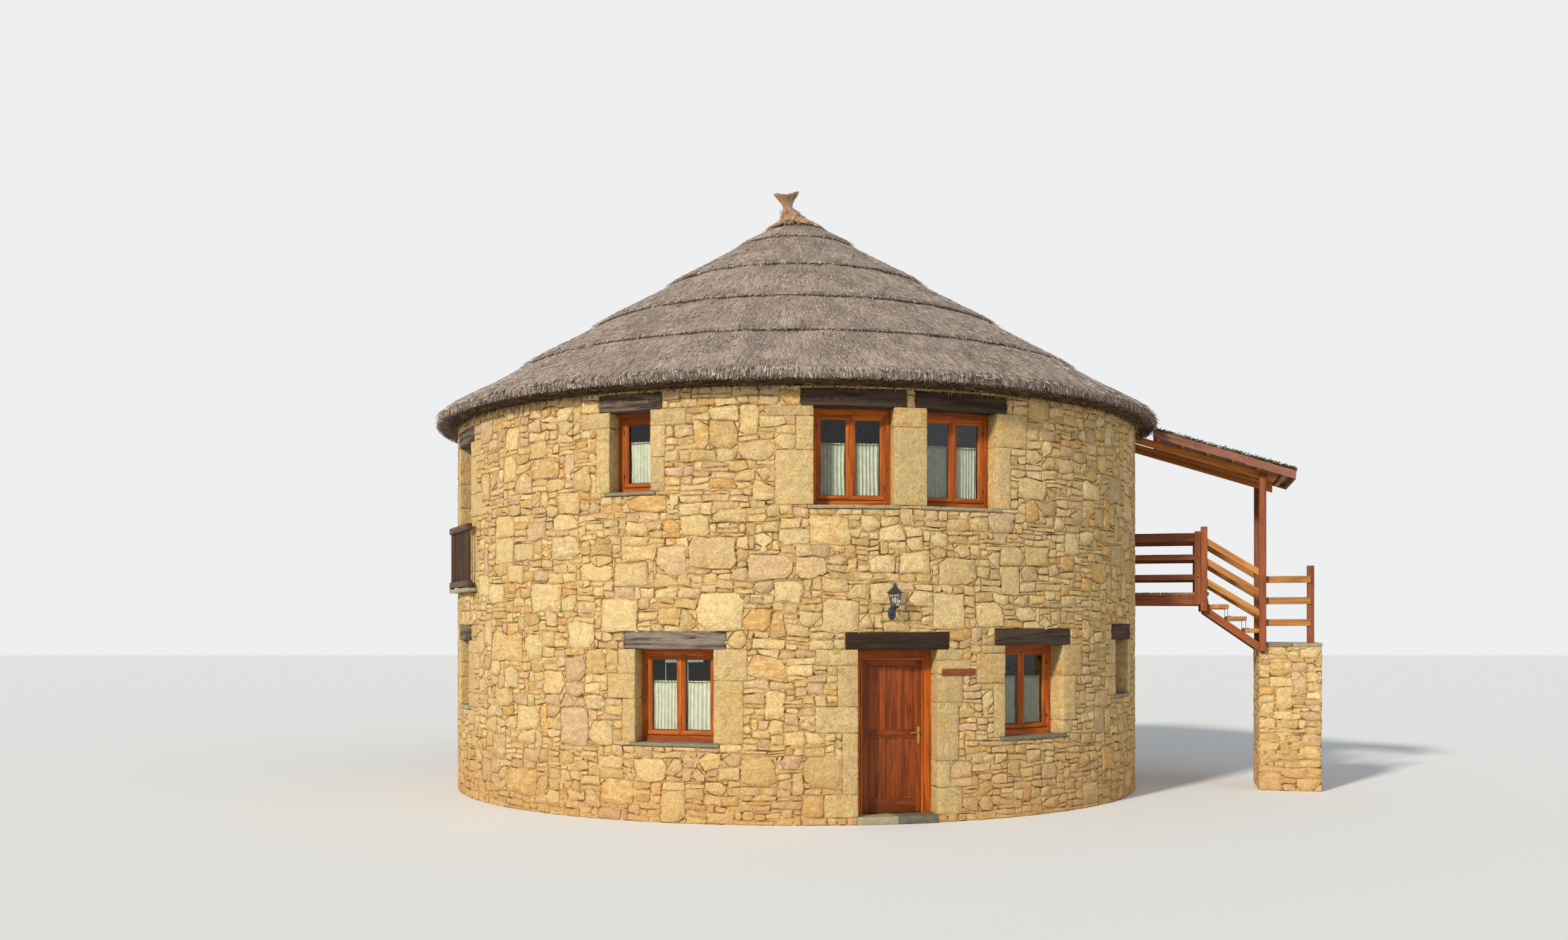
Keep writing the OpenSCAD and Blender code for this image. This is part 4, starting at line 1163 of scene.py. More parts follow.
LIP_LOW, LIP_HIGH = 0.0385, 0.0165
for k in range(5):
    outer, inner = COURSE_R[k], COURSE_R[k + 1]
    heap = Heap(40 + k)
    lap = 0.13 if k < 4 else 0.06

    def surface(r, outer=outer, inner=inner):
        share = np.clip((outer - 0.06 - r) / (outer - 0.06 - inner), 0, 1)
        return cone_z(r) + LIP_HIGH - share * (LIP_HIGH + LIP_LOW)

    rows = max(4, int((outer - inner) / 0.09))
    top = [(r, surface(r), 1.0) for r in np.linspace(outer - 0.06, inner, rows)]
    under = [(inner - lap, cone_z(inner - lap) - LIP_LOW, 0.0),
             (inner - lap, cone_z(inner - lap) - THATCH_T, 0.0)]
    if k == 0:
        round_roll = [(ROLL_MID + (ROLL_R + 0.001) * math.cos(math.radians(a)),
                       WALL_H + ROLL_R + (ROLL_R + 0.001) * math.sin(math.radians(a)), 0.0)
                      for a in range(150, -1, -30)]
        profile = top + under + [(WALL_R - 0.16, cone_z(WALL_R - 0.16) - THATCH_T, 0.0)] \
            + round_roll + [(WALL_R + 0.136, WALL_H + 0.08, 0.2),
                            (outer - 0.05, WALL_H + 0.055, 0.5),
                            (outer - 0.005, WALL_H + 0.072, 0.7),
                            (outer + 0.008, WALL_H + 0.12, 0.9),
                            (outer - 0.02, cone_z(outer - 0.02), 1.0)]
    else:
        profile = top + under + [(outer - lap, cone_z(outer - lap) - THATCH_T, 0.0),
                                 (outer - lap, cone_z(outer - lap) - LIP_LOW, 0.0),
                                 (outer - 0.02, cone_z(outer) - LIP_LOW + 0.004, 0.3),
                                 (outer + 0.004, cone_z(outer) - 0.012, 0.8),
                                 (outer - 0.02, cone_z(outer - 0.02) + 0.010, 1.0)]
    straw_ring(heap, profile, int(2 * math.pi * outer / 0.055), k + 1)
    area = math.pi * (outer ** 2 - inner ** 2) * SLOPE
    straws(heap, int(area * 470), (inner - 0.05, outer - 0.10), surface, (0.08, 0.24),
           (0.006, 0.015), (0.004, 0.016), 0.60, course=(outer - 0.06, k + 1))
    edge = int(2 * math.pi * outer / 0.013)
    if k:
        straws(heap, edge, (outer - 0.10, outer - 0.05), surface, (0.08, 0.15),
               (0.008, 0.018), (-0.012, 0.006), 0.62, 0.07, (0.7, 1.0))
        # Painted shade: the straws that hang under the lip are dark
        straws(heap, edge, (outer - 0.07, outer - 0.02), surface, (0.05, 0.10),
               (0.008, 0.018), (-0.02, 0.0), 0.12, 0.12, (1.0, 2.2))
    else:
        straws(heap, edge, (outer - 0.10, outer - 0.03), surface, (0.08, 0.14),
               (0.012, 0.024), (-0.006, 0.008), 0.55, 0.08, (0.8, 1.3))
        # Straws that hang under the eave, painted dark as the shade beneath it; the outermost row
        # less so
        for low, high, z, reach in ((0.0, 0.02, 0.16, (0.07, 0.125)),
                                    (-0.03, 0.0, 0.13, (0.06, 0.10)),
                                    (-0.09, -0.03, 0.10, (0.045, 0.075)),
                                    (-0.14, -0.09, 0.10, (0.03, 0.05))):
            straws(heap, edge, (outer + low, outer + high), lambda r, z=z: WALL_H + z,
                   reach, (0.008, 0.020), (-0.004, 0.006), 0.12 if z < 0.13 else 0.34, 0.16,
                   (4.0, 30.0))
    piece("thatch_straw_%d" % (k + 1), heap, "thatch_straw",
          replaces="thatch_course_%d" % (k + 1), sharp=70)

# The straw gathered up to the point, which stands a little to one side, and the loose
# tuft that it ends in
point = Heap(50)
base_r = COURSE_R[5]
core = base_r - 0.0603
NECK = [(0.21, 9.195), (0.15, 9.275), (0.115, 9.33), (0.085, 9.38), (0.068, 9.42)]
straw_ring(point, [(base_r + 0.03, cone_z(base_r + 0.03) + 0.014, 1.0),
                   *((*row, 0.7) for row in NECK),
                   (0.004, 9.425, 0.0), (0.004, cone_z(core) - THATCH_T, 0),
                   (core, cone_z(core) - THATCH_T, 0), (core, cone_z(core) - LIP_LOW, 0),
                   (base_r - 0.01, cone_z(base_r) - 0.035, 0.4),
                   (base_r + 0.03, cone_z(base_r + 0.03) - 0.012, 0.5)], 120, 7)
neck_r, neck_z = np.array([(0.9, cone_z(0.9)), (0.29, cone_z(0.29) + 0.014), *NECK]).T


def neck(r):
    return np.interp(-r, -neck_r, neck_z)


straws(point, 900, (0.075, 0.30), neck, (0.05, 0.13), (0.007, 0.015), (0.004, 0.016), 0.6, 0.12,
       (0.9, 1.6))
straws(point, 900, (0.22, 0.34), neck, (0.12, 0.26), (0.007, 0.016), (0.002, 0.012), 0.6, 0.12)
for p in point.points:
    p[:, 0] -= 0.14 * np.clip((p[:, 2] - 9.115) / 0.3, 0, 1)
piece("point_straw", point, "tuft_straw", replaces="roof_tuft", sharp=60)
tuft = Heap(51)
lean = np.eye(4)
a = math.radians(-5)
lean[::2, ::2][:2, :2] = [[math.cos(a), math.sin(a)], [-math.sin(a), math.cos(a)]]
lean[:3, 3] = -0.132, 0, 9.38
TUFT = [(0.040, -0.08), (0.064, -0.02), (0.064, 0.03), (0.072, 0.07), (0.088, 0.11), (0.110, 0.15),
        (0.080, 0.155), (0.030, 0.12)]
lathe(tuft, lean, TUFT, 32, tone=(0.2, 0.2, 1.0))
rng = tuft.rng
TUFT_SIDE = np.array(TUFT[1:6])


def tuft_blades(n, low, reach, out, wide, bright):
    """Loose straws up the tuft, which stands highest at its two sides"""
    ang = rng.uniform(0, 2 * math.pi, n)
    far = ang + rng.normal(0, 0.18, n)
    tallest = 0.17 + 0.07 * np.abs(np.cos(far)) ** 2 + 0.02 * rng.random(n)
    t0 = rng.uniform(*low, n)
    t1 = np.minimum(t0 + rng.uniform(*reach, n), tallest)
    r0, r1 = (np.interp(t, TUFT_SIDE[:, 1], TUFT_SIDE[:, 0]) for t in (t0, t1))
    r1 = r1 + rng.uniform(*out, n) + 0.75 * np.maximum(t1 - 0.15, 0)
    way = xyz(np.cos(ang), np.sin(ang), 0)
    root = xyz(r0 * way[:, 0], r0 * way[:, 1], t0)
    tip = xyz(r1 * np.cos(far), r1 * np.sin(far), t1)
    wide = rng.uniform(*wide, n)
    turned = lean[:3, :3].T
    blades(tuft, placed(root, lean), placed(tip, lean), np.cross(tip - root, way) @ turned, wide,
           (way * wide[:, None] * 0.6) @ turned, np.clip(rng.normal(bright, 0.28, n), 0, 1))


tuft_blades(2000, (-0.07, 0.12), (0.06, 0.15), (0.002, 0.012), (0.004, 0.010), 0.55)
tuft_blades(900, (0.08, 0.14), (0.08, 0.16), (0.0, 0.025), (0.004, 0.008), 0.7)
tuft_blades(120, (0.0, 0.10), (0.16, 0.22), (0.01, 0.04), (0.003, 0.006), 0.8)
piece("roof_tuft_straw", tuft, "tuft_straw", replaces="roof_tuft", sharp=60)

# The pale straw roll that the eave rests on
roll = Heap(52)
SIDES, COLUMNS = 14, 480


def on_roll(a, c, radius):
    """Points round the roll, at angle a round the hut and c round the roll"""
    return polar(ROLL_MID + radius * np.cos(c), a, WALL_H + ROLL_R + radius * np.sin(c))


aa, cc = (grid.ravel() for grid in np.meshgrid(
    *(np.linspace(0, 2 * math.pi, n, endpoint=False) for n in (COLUMNS, SIDES)), indexing="ij"))
strand = xyz(aa * WALL_R * 1.2, cc * 0.9, 0)
radius = ROLL_R - 0.004 + 0.007 * wobble(strand, 0.17, 4) + 0.004 * np.sin(cc * 7 + aa * 90)
# Painted light and shade: the roll is lighter on top and dark on its underside
shine = np.clip(0.3 + 0.45 * np.sin(cc) + 0.3 * wobble(strand, 0.3, 6), 0, 1)
roll.add(on_roll(aa, cc, radius), joined(COLUMNS, SIDES, ring=True)[:, [0, 3, 2, 1]],
         xyz(aa * WALL_R, cc * ROLL_R, 0), xyz(shine, shine, shine))
n = 5200
rng = roll.rng
aa, cc = rng.uniform(0, 2 * math.pi, n), rng.uniform(-2.6, 0.5, n)
turn = rng.uniform(0.10, 0.28, n) / WALL_R
dc = rng.normal(0, 0.25, n)
root, tip = on_roll(aa, cc, ROLL_R - 0.004), on_roll(aa + turn, cc + dc, ROLL_R + 0.008)
away = on_roll(aa, cc, ROLL_R + 1.0) - on_roll(aa, cc, ROLL_R)
wide = rng.uniform(0.006, 0.014, n)
# Its straws are painted the same way, lighter on top and dark underneath, as light and shade
blades(roll, root, tip, np.cross(tip - root, away), wide, away * wide[:, None] * 0.4,
       np.clip(rng.normal(0.32, 0.22, n) + 0.35 * np.sin(cc), 0, 1))
# A fringe of straw ends over the wall head
n = 3000
aa = rng.uniform(0, 2 * math.pi, n)
out = rng.uniform(0.012, 0.060, n)
drop = rng.uniform(0.015, 0.085, n) * rng.random(n) ** 0.4
root = polar(WALL_R + out, aa, WALL_H + 0.03)
tip = polar(WALL_R + (out + rng.uniform(0, 0.03, n)), aa + rng.normal(0, 0.003, n),
            WALL_H - drop)
wide = rng.uniform(0.006, 0.014, n)
away = polar(1, aa, 0)
blades(roll, root, tip, np.cross(tip - root, away), wide, away * wide[:, None] * 0.4,
       np.clip(rng.normal(0.42, 0.34, n), 0, 1))
piece("eave_roll_straw", roll, "roll_straw", replaces="eave_roll", sharp=70)


# Windows

FRAME_Y = -WALL_R + REVEAL
SASH_Y = FRAME_Y + 0.012
frames, sashes, rods, irons = Heap(60), Heap(61), Heap(62), Heap(63)
SASH_SECTION = [(0, SASH_Y), (0.030, SASH_Y), (0.034, SASH_Y + 0.004), (0.043, SASH_Y + 0.004),
                (0.047, SASH_Y + 0.009), (0.056, SASH_Y + 0.013), (STILE_W, SASH_Y + 0.019),
                (STILE_W, SASH_Y + 0.036), (0.052, SASH_Y + CASEMENT_T), (0, SASH_Y + CASEMENT_T)]
FRAME_SECTION = [(0, FRAME_Y), (0.058, FRAME_Y), (0.062, FRAME_Y + 0.004),
                 (0.074, FRAME_Y + 0.004), (0.0798, FRAME_Y + 0.011),
                 (0.0798, FRAME_Y + FRAME_T - 0.004), (0.075, FRAME_Y + FRAME_T),
                 (0, FRAME_Y + FRAME_T)]
curtain_spots = []
for name, angle, width, foot, head, leaves, curtained in WINDOWS:
    here = facing(angle, (0, 0, foot))
    high = head - foot
    moulding(frames, here, width - 0.002, high - 0.001, FRAME_SECTION)
    leaf = (width - 2 * FRAME_W) / leaves
    tall = high - 2 * FRAME_W
    for i in range(leaves):
        x = (i - (leaves - 1) / 2) * leaf
        there = facing(angle, (x, 0, foot + FRAME_W))
        moulding(sashes, there, leaf - 0.004, tall - 0.003, SASH_SECTION, foot=0.003)
        block(sashes, shifted(there, 0, SASH_Y - 0.008, 0.006), (leaf - 0.02, 0.024, 0.046),
              edge=0.009, step=0.3, centred="xy")
        for z in (0.16, tall - 0.16):
            side = -1 if i == 0 else 1
            block(irons, shifted(there, side * (leaf / 2 - 0.001), SASH_Y - 0.006, z),
                  (0.012, 0.012, 0.055), edge=0.004, centred="xyz")
        if curtained:
            curtain_spots.append((name + (("_l", "_r")[i] if leaves == 2 else ""), there, leaf,
                                  tall))
    if leaves == 2:
        block(sashes, shifted(here, 0, SASH_Y - 0.004, FRAME_W + 0.004),
              (0.034, 0.010, tall - 0.008), edge=0.004, step=0.3, grain_axis=2,
              centred="xy")
piece("window_frame_timber", frames, "joinery", replaces="window_frames")
piece("casement_timber", sashes, "joinery", replaces="casements")
piece("casement_hinges", irons, "dark_iron")

# Half curtains gathered on thin rods
ROD_Y = SASH_Y + CASEMENT_T + 0.005
for name, there, leaf, tall in curtain_spots:
    z = tall * CURTAIN_SHARE
    reach = leaf / 2 - STILE_W + 0.015
    tube(rods, placed([(x, ROD_Y, z) for x in (-reach, 0, reach)], there), 0.005)
    for x in (-reach, reach):
        block(rods, shifted(there, x, ROD_Y - 0.001, z), (0.010, 0.014, 0.022), edge=0.003,
              centred="xyz")
rod_piece = piece("curtain_rods", rods, "handle_brass")
for number, (name, there, leaf, tall) in enumerate(curtain_spots):
    rng = np.random.default_rng(700 + number)
    wide = leaf - 2 * STILE_W - 0.012
    top, bottom = tall * CURTAIN_SHARE + 0.018, STILE_W + 0.012
    across, down = 110, 17
    x = np.linspace(-wide / 2, wide / 2, across)
    t = np.concatenate([[0, 0.014, 0.028, 0.042], np.linspace(0.07, 1, down - 4)])
    folds = rng.integers(6, 9)
    phase = rng.uniform(0, 6.28)
    wander = wobble(xyz(x * 5, 0, number), 0.6, 1) * 1.6
    strength = 0.75 + 0.35 * wobble(xyz(x * 9, 0, number + 40.0), 0.5, 2)
    xx, tt = np.meshgrid(x, t, indexing="ij")
    wave = np.sin(xx / wide * folds * 2 * math.pi + phase + wander[:, None]
                  + 0.7 * np.sin(tt * 3 + number) * tt)
    wave = wave + 0.35 * np.sin(xx / wide * folds * 4.7 * math.pi + phase) * (tt < 0.06)
    tight = np.interp(tt, [0, 0.014, 0.028, 0.05, 0.1, 1], [1.2, 0.9, 0.4, 0.5, 0.75, 1.2])
    y = ROD_Y + 0.0105 + 0.006 * tt + 0.0105 * wave * strength[:, None] * tight
    draw = 1 - 0.035 * np.sin(np.clip(tt, 0, 1) * math.pi) * rng.uniform(0.3, 1.2)
    zz = top + (bottom - top) * tt
    zz = zz + 0.003 * np.sin(xx * 160 + number) * (tt < 0.01)
    p = xyz(xx * draw, y, zz)
    quads = woven(np.arange(across * down).reshape(across, down))[:, [0, 3, 2, 1]]
    step = np.linalg.norm(np.diff(p, axis=0), axis=2)
    fall = np.linalg.norm(np.diff(p, axis=1), axis=2)
    area = (0.25 * (step[:, :-1] + step[:, 1:]) * (fall[:-1] + fall[1:])).sum()
    heap = Heap(800 + number)
    heap.add(placed(p.reshape(-1, 3), there), quads, xyz(xx, zz, 0).reshape(-1, 3))
    made = piece("curtain_" + name, heap, "curtain_cotton", replaces="curtains", sharp=180)
repaint("window_glass", "window_panes")


# The French window, its balcony and the doors

def panelled_leaf(heap, place, width, height, thick):
    """A door leaf of six sunk panels standing on z = 0, its outer face at y = 0"""
    stile, muntin, foot_rail, mid_z, mid_h = 0.085, 0.08, 0.182, 0.956, 0.10
    wood = dict(edge=0.004, step=0.4, rough=0.0008, lump=0.3)
    for x in (-width / 2, width / 2 - stile):
        block(heap, shifted(place, x, 0, 0), (stile, thick, height), grain_axis=2, **wood)
    clear = width - 2 * stile
    for z, h in ((0, foot_rail), (mid_z, mid_h), (height - stile, stile)):
        block(heap, shifted(place, -clear / 2, 0, z), (clear, thick, h), **wood)
    panel = (clear - 2 * muntin) / 3
    for low, high in ((foot_rail, mid_z), (mid_z + mid_h, height - stile)):
        for i in (-1, 1):
            block(heap, shifted(place, i * (panel + muntin) / 2 - muntin / 2, 0, low),
                  (muntin, thick, high - low), grain_axis=2, **wood)
        for i in (-1, 0, 1):
            x = i * (panel + muntin)
            block(heap, shifted(place, x - panel / 2, 0.010, low),
                  (panel, thick - 0.020, high - low), grain_axis=2, **wood)
            for y, d in ((0, 1), (thick, -1)):
                moulding(heap, shifted(place, x, 0, low), panel, high - low,
                         [(0, y + d * 0.003), (0.004, y + d * 0.001), (0.010, y + d * 0.004),
                          (0.015, y + d * 0.011), (0, y + d * 0.011)][::d])


def lever_handle(heap, place, thick):
    """Backplates, levers and keyhole covers on both faces of a leaf"""
    for face, way in ((0, -1), (thick, 1)):
        block(heap, shifted(place, 0, face + way * 0.003, 0), (0.042, 0.007, 0.22),
              edge=0.006, step=0.05, centred="xyz")
        block(heap, shifted(place, 0, face + way * 0.006, 0), (0.030, 0.005, 0.19),
              edge=0.003, step=0.05, centred="xyz")
        out = face + way * 0.040
        bar = [(0, face, 0.04), (0, face + way * 0.022, 0.04), (0, out - way * 0.006, 0.04),
               (-0.010, out, 0.041), (-0.035, out + way * 0.003, 0.043),
               (-0.065, out + way * 0.002, 0.041), (-0.095, out, 0.037),
               (-0.115 + 0.006, out, 0.036), (-0.115, out, 0.034)]
        tube(heap, placed(bar, place), [0.011, 0.009, 0.010, 0.0105, 0.009, 0.0095, 0.0105,
                                        0.010, 0.006], 10)
        for z, r, deep, top, sides in ((0.04, 0.019, 0.007, (0.013, 0.011), 20),
                                       (-0.045, 0.012, 0.008, (0.007, 0.010), 16)):
            lathe(heap, shifted(place, 0, face, z) @ lying(way), [(r, 0), (r, deep), top],
                  sides)


door_timber, leaf_timber, handles, hinge_iron = Heap(65), Heap(66), Heap(67), Heap(68)
JAMB_T = 0.066
DOOR_Y = -WALL_R + REVEAL + DOOR_SET_BACK
angle, width, foot, head = TALL[2][1:]
here = facing(angle, (0, 0, foot))


def jamb_section(y):
    return [(0, y), (0.046, y), (0.050, y + 0.005), (0.078, y + 0.005), (0.083, y + 0.010),
            (0.120, y + 0.010), (0.125, y + 0.013), (0.125, y + JAMB_T - 0.004),
            (0.121, y + JAMB_T), (0, y + JAMB_T)]


moulding(door_timber, here, width - 0.002, head - foot - 0.001, jamb_section(DOOR_Y), bottom=False)
moulding(door_timber, here, width - 0.23, head - foot - 0.115,
         [(0, DOOR_Y + 0.001), (0.018, DOOR_Y + 0.001), (0.024, DOOR_Y + 0.006),
          (0.024, DOOR_Y + 0.014), (0, DOOR_Y + 0.014)], bottom=False)
LEAF_T = 0.046
LEAF_GAP = 0.012
leaf_w, leaf_h, leaf_y = 0.813, 1.972, -5.10
panelled_leaf(leaf_timber, facing(angle, (0, leaf_y, foot + LEAF_GAP)), leaf_w, leaf_h, LEAF_T)
lever_handle(handles, facing(angle, (leaf_w / 2 - 0.0425, leaf_y, foot + 1.0)), LEAF_T)
side_angle, side_w, side_foot, side_head = TALL[1][1:]
moulding(door_timber, facing(side_angle, (0, 0, side_foot)), side_w - 0.002,
         side_head - side_foot - 0.001, jamb_section(FRAME_Y), bottom=False)
side_leaf = Heap(69)
side_place = facing(side_angle, (0, FRAME_Y + 0.020, side_foot))
panelled_leaf(side_leaf, side_place, side_w - 0.25, side_head - side_foot - 0.125, LEAF_T)
side_handle = Heap(70)
lever_handle(side_handle, shifted(side_place, side_w / 2 - 0.1675, 0, 1.0), LEAF_T)
piece("side_leaf_timber", side_leaf, "leaf_stain", replaces="side_door_leaf")
piece("side_door_lever", side_handle, "handle_brass")
piece("front_leaf_timber", leaf_timber, "leaf_stain", body="front_door",
      replaces="front_door_leaf")
piece("front_door_lever", handles, "handle_brass", body="front_door",
      replaces="front_door_handle")
piece("door_frame_timber", door_timber, "joinery", replaces="door_frames")
leaf_iron = Heap(71)
KNUCKLE_H = 0.034
for z in (foot + LEAF_GAP + 0.22, foot + LEAF_GAP + leaf_h - 0.32):
    for k, side in enumerate((-1, 1, -1)):
        spot = facing(angle, (-leaf_w / 2 - 0.003, leaf_y + LEAF_T + 0.0113, z + k * KNUCKLE_H))
        heap = leaf_iron if side > 0 else hinge_iron
        lathe(heap, spot, [(0.010, 0.0004), (0.011, 0.002), (0.011, 0.0316), (0.010, 0.0334)], 20)
        block(heap, shifted(spot, side * 0.027, -0.0103, 0.0167), (0.046, 0.0055, 0.0325),
              edge=0.002, centred="xyz")
piece("frame_hinge_iron", hinge_iron, "dark_iron")
piece("leaf_hinge_iron", leaf_iron, "dark_iron", body="front_door")

french = Heap(72)
angle, width, foot, head = TALL[0][1:]
here = facing(angle, (0, 0, foot))
high = head - foot
moulding(french, here, width - 0.002, high - 0.001, FRAME_SECTION, bottom=False)
leaf = (width - 2 * FRAME_W) / 2
for side in (-1, 1):
    there = facing(angle, (side * leaf / 2, 0, foot))
    moulding(french, there, leaf - 0.004, high - FRAME_W - 0.003, SASH_SECTION, foot=0.003)
    for z, h in ((0.055, 0.045), (0.54, 0.06)):
        block(french, shifted(there, -leaf / 2 + STILE_W, SASH_Y, z),
              (leaf - 2 * STILE_W, CASEMENT_T, h), edge=0.005)
    block(french, shifted(there, -leaf / 2 + STILE_W - 0.002, SASH_Y + 0.012, 0.095),
          (leaf - 2 * STILE_W + 0.004, 0.026, 0.45), edge=0.003, grain_axis=2)
    moulding(french, shifted(there, 0, 0, 0.10), leaf - 2 * STILE_W, 0.44,
             [(0, SASH_Y + 0.004), (0.008, SASH_Y + 0.004), (0.018, SASH_Y + 0.011),
              (0, SASH_Y + 0.012)])
piece("french_window_timber", french, "joinery", replaces="french_window")

balcony = Heap(73)
BALCONY_W, BALCONY_OUT, RAIL_H = 1.36, 0.11, 0.93
front = -WALL_R - BALCONY_OUT


def slab_back(p, share):
    back = -wall_face(p[:, 0], 0.001)
    return xyz(p[:, 0], front + share[:, 1] * (back - front), p[:, 2])


block(balcony, facing(angle, (0, 0, foot - 0.055)), (BALCONY_W, 0.3, 0.054), edge=0.008,
      step=0.08, rough=0.003, shape=slab_back, centred="x")
piece("balcony_slate", balcony, "slate_stone", replaces="balcony_slab")
railing = Heap(74)
rail_place = facing(angle, (0, front + 0.005, foot))
for z, h in ((0.018, 0.09), (RAIL_H - 0.095, 0.095)):
    block(railing, shifted(rail_place, -BALCONY_W / 2, 0, z), (BALCONY_W, 0.07, h),
          edge=0.008, step=0.3, rough=0.0015, lump=0.25)
for i in range(11):
    x = -BALCONY_W / 2 + 0.04 + i * (BALCONY_W - 0.08) / 10
    block(railing, shifted(rail_place, x, 0.035, 0.10), (0.028, 0.028, RAIL_H - 0.19),
          edge=0.004, step=0.25, rough=0.001, grain_axis=2, centred="xy")
for s in (-1, 1):
    block(railing, shifted(rail_place, s * (BALCONY_W / 2 - 0.03), 0.035, 0),
          (0.06, 0.06, 0.03), edge=0.004, centred="xy")
piece("balcony_rail_timber", railing, "dark_oak", replaces="balcony_railing")


# The landing, its canopy and its stair, all in the landing's own line

BEAM_TOP, CANOPY_SLOPE = 4.875, math.tan(math.radians(18.3))
SAWN = dict(edge=0.006, step=0.30, rough=0.0022, lump=0.30)
near_mid, far_mid = NEAR_V - POST / 2, FAR_V + POST / 2
BEAM_W, BEAM_END, FAR_BEAM_V = 0.07, 7.52, 1.37
CANOPY_U, CANOPY_LEN, CANOPY_V, CANOPY_W = 5.68, 2.04, 0.09, 1.60
DECK_V, DECK_SPAN, BOARD_W = 0.341, 1.098, 0.139
STAIR_U, GOING, RISE = 6.525, 0.262, 0.187
END_POST_U, RAIL_T, STAIR_RAIL_H = 6.345, 0.045, 0.105


def beam_z(u):
    """Top of the canopy beams at distance u from the hut's axis"""
    return BEAM_TOP + (TALL_POST_U - u) * CANOPY_SLOPE


def sloped(heap, u0, u1, v, width, up, height, cut=0.0, **more):
    """A timber that follows the canopy's slope, with upright ends"""
    def shape(p, share):
        u = u0 + p[:, 0] - cut * (1 - share[:, 2]) * (share[:, 0] > 0.94)
        return xyz(u - u0, p[:, 1], p[:, 2] + beam_z(u) + up - height)

    block(heap, landing((u0, v, 0)), (u1 - u0, width, height), shape=shape, **dict(SAWN, **more))


def upright(heap, u, v, foot, top, side=POST, **more):
    block(heap, landing((u, v, foot)), (side, side, top - foot), grain_axis=2,
          centred="xy", **dict(SAWN, **more))


def rail(heap, start, end, width, height):
    """A rail from start to end, with upright ends"""
    (u0, v, z0), (u1, z1) = start, end

    def shape(p, share):
        return p + np.outer(p[:, 0] * (z1 - z0) / (u1 - u0), (0, 0, 1))

    block(heap, landing((u0, v, z0)), (u1 - u0, width, height), shape=shape, **SAWN)


beams = Heap(80)
sloped(beams, 5.31, BEAM_END, NEAR_V, BEAM_W, 0, 0.11, cut=0.06)
sloped(beams, 5.14, BEAM_END, FAR_BEAM_V, BEAM_W, -0.066, 0.0815)
sloped(beams, 5.37, BEAM_END, FAR_BEAM_V, BEAM_W, 0, 0.0655)
piece("canopy_beam_timber", beams, "beam_timber", replaces="canopy_beams")

posts = Heap(81)
for v, foot in ((near_mid, 2.13), (far_mid, COPING_Z)):
    upright(posts, TALL_POST_U, v, foot, beam_z(TALL_POST_U + POST / 2) - 0.001)
piece("tall_post_timber", posts, "post_timber", replaces="canopy_posts")

purlins = Heap(82)
for i in range(6):
    u = 5.76 + i * 0.37
    v = np.linspace(0.07, 1.71, 9)
    bow = purlins.rng.normal(0, 0.0022, (2, 9))
    line = xyz(u + bow[0], v, beam_z(u) + 0.0395 + bow[1])
    tube(purlins, placed(line, landing()), 0.0375 + purlins.rng.normal(0, 0.0010, 9), 14)
piece("purlin_timber", purlins, "beam_timber", replaces="canopy_purlins")

boards = Heap(83)
for i in range(11):
    width = 1.622 / 11
    start = CANOPY_U + boards.rng.uniform(0, 0.012)
    sloped(boards, start, 7.728, 0.079 + i * width, width - 0.004, 0.104, 0.0245, edge=0.003)
piece("canopy_board_timber", boards, "board_timber", replaces="canopy_boards")

verges = Heap(84)
for v_high, v_low in ((0.05, 0.028), (1.702, 1.73)):
    sloped(verges, CANOPY_U, 7.07, v_high, 0.028, 0.139, 0.125)
    sloped(verges, 7.03, 7.758, v_low, 0.022, 0.129, 0.125)
sloped(verges, 7.730, 7.758, 0.0505, 1.679, 0.124, 0.125)
piece("verge_timber_boards", verges, "verge_timber", replaces="verge_boards")

# Old straw and moss that lie over the canopy boards
cover = Heap(85)


def heaped(p, share):
    edge = np.minimum(np.minimum(share[:, 0], 1 - share[:, 0]) * CANOPY_LEN,
                      np.minimum(share[:, 1], 1 - share[:, 1]) * CANOPY_W)
    spot = xyz(p[:, 0], p[:, 1], 0)
    mound = 0.018 * wobble(spot, 0.23, 1) + 0.012 * wobble(spot, 0.09, 2)
    top = np.clip(edge / 0.08, 0, 1) * (0.014 + mound) * share[:, 2]
    return xyz(p[:, 0], p[:, 1] + 0.010 * wobble(spot, 0.14, 3) * (edge < 0.03),
               p[:, 2] + beam_z(CANOPY_U + p[:, 0]) + 0.1045 + top)


block(cover, landing((CANOPY_U, CANOPY_V, 0)), (CANOPY_LEN, CANOPY_W, 0.046), edge=0.014,
      step=0.035, shape=heaped)
rng = cover.rng
n = 5600
u, v = rng.uniform(5.70, 7.72, n), rng.uniform(0.10, 1.68, n)
u[:900] = rng.uniform(7.62, 7.74, 900)
v[900:1600], v[1600:2300] = rng.uniform(0.075, 0.13, 700), rng.uniform(1.65, 1.71, 700)
way = rng.normal(0, 1.0, n)
reach = rng.uniform(0.03, 0.11, n)
rise = rng.uniform(-0.006, 0.035, n)
root = xyz(u, v, beam_z(u) + 0.150 + rng.uniform(-0.01, 0.018, n))
tip = root + xyz(reach * np.cos(way), reach * np.sin(way),
                 -reach * np.cos(way) * CANOPY_SLOPE + rise)
tip[:, :2] = np.clip(tip[:, :2], (5.66, 0.03), (7.79, 1.75))
wide = rng.uniform(0.006, 0.022, n)
side = xyz(-np.sin(way), np.cos(way), 0) @ landing()[:3, :3].T
blades(cover, placed(root, landing()), placed(tip, landing()), side, wide,
       np.outer(wide, (0, 0, 0.5)), np.clip(rng.normal(0.5, 0.25, n), 0, 1))
piece("mossy_cover", cover, "mossy_straw", replaces="canopy_cover", sharp=70)

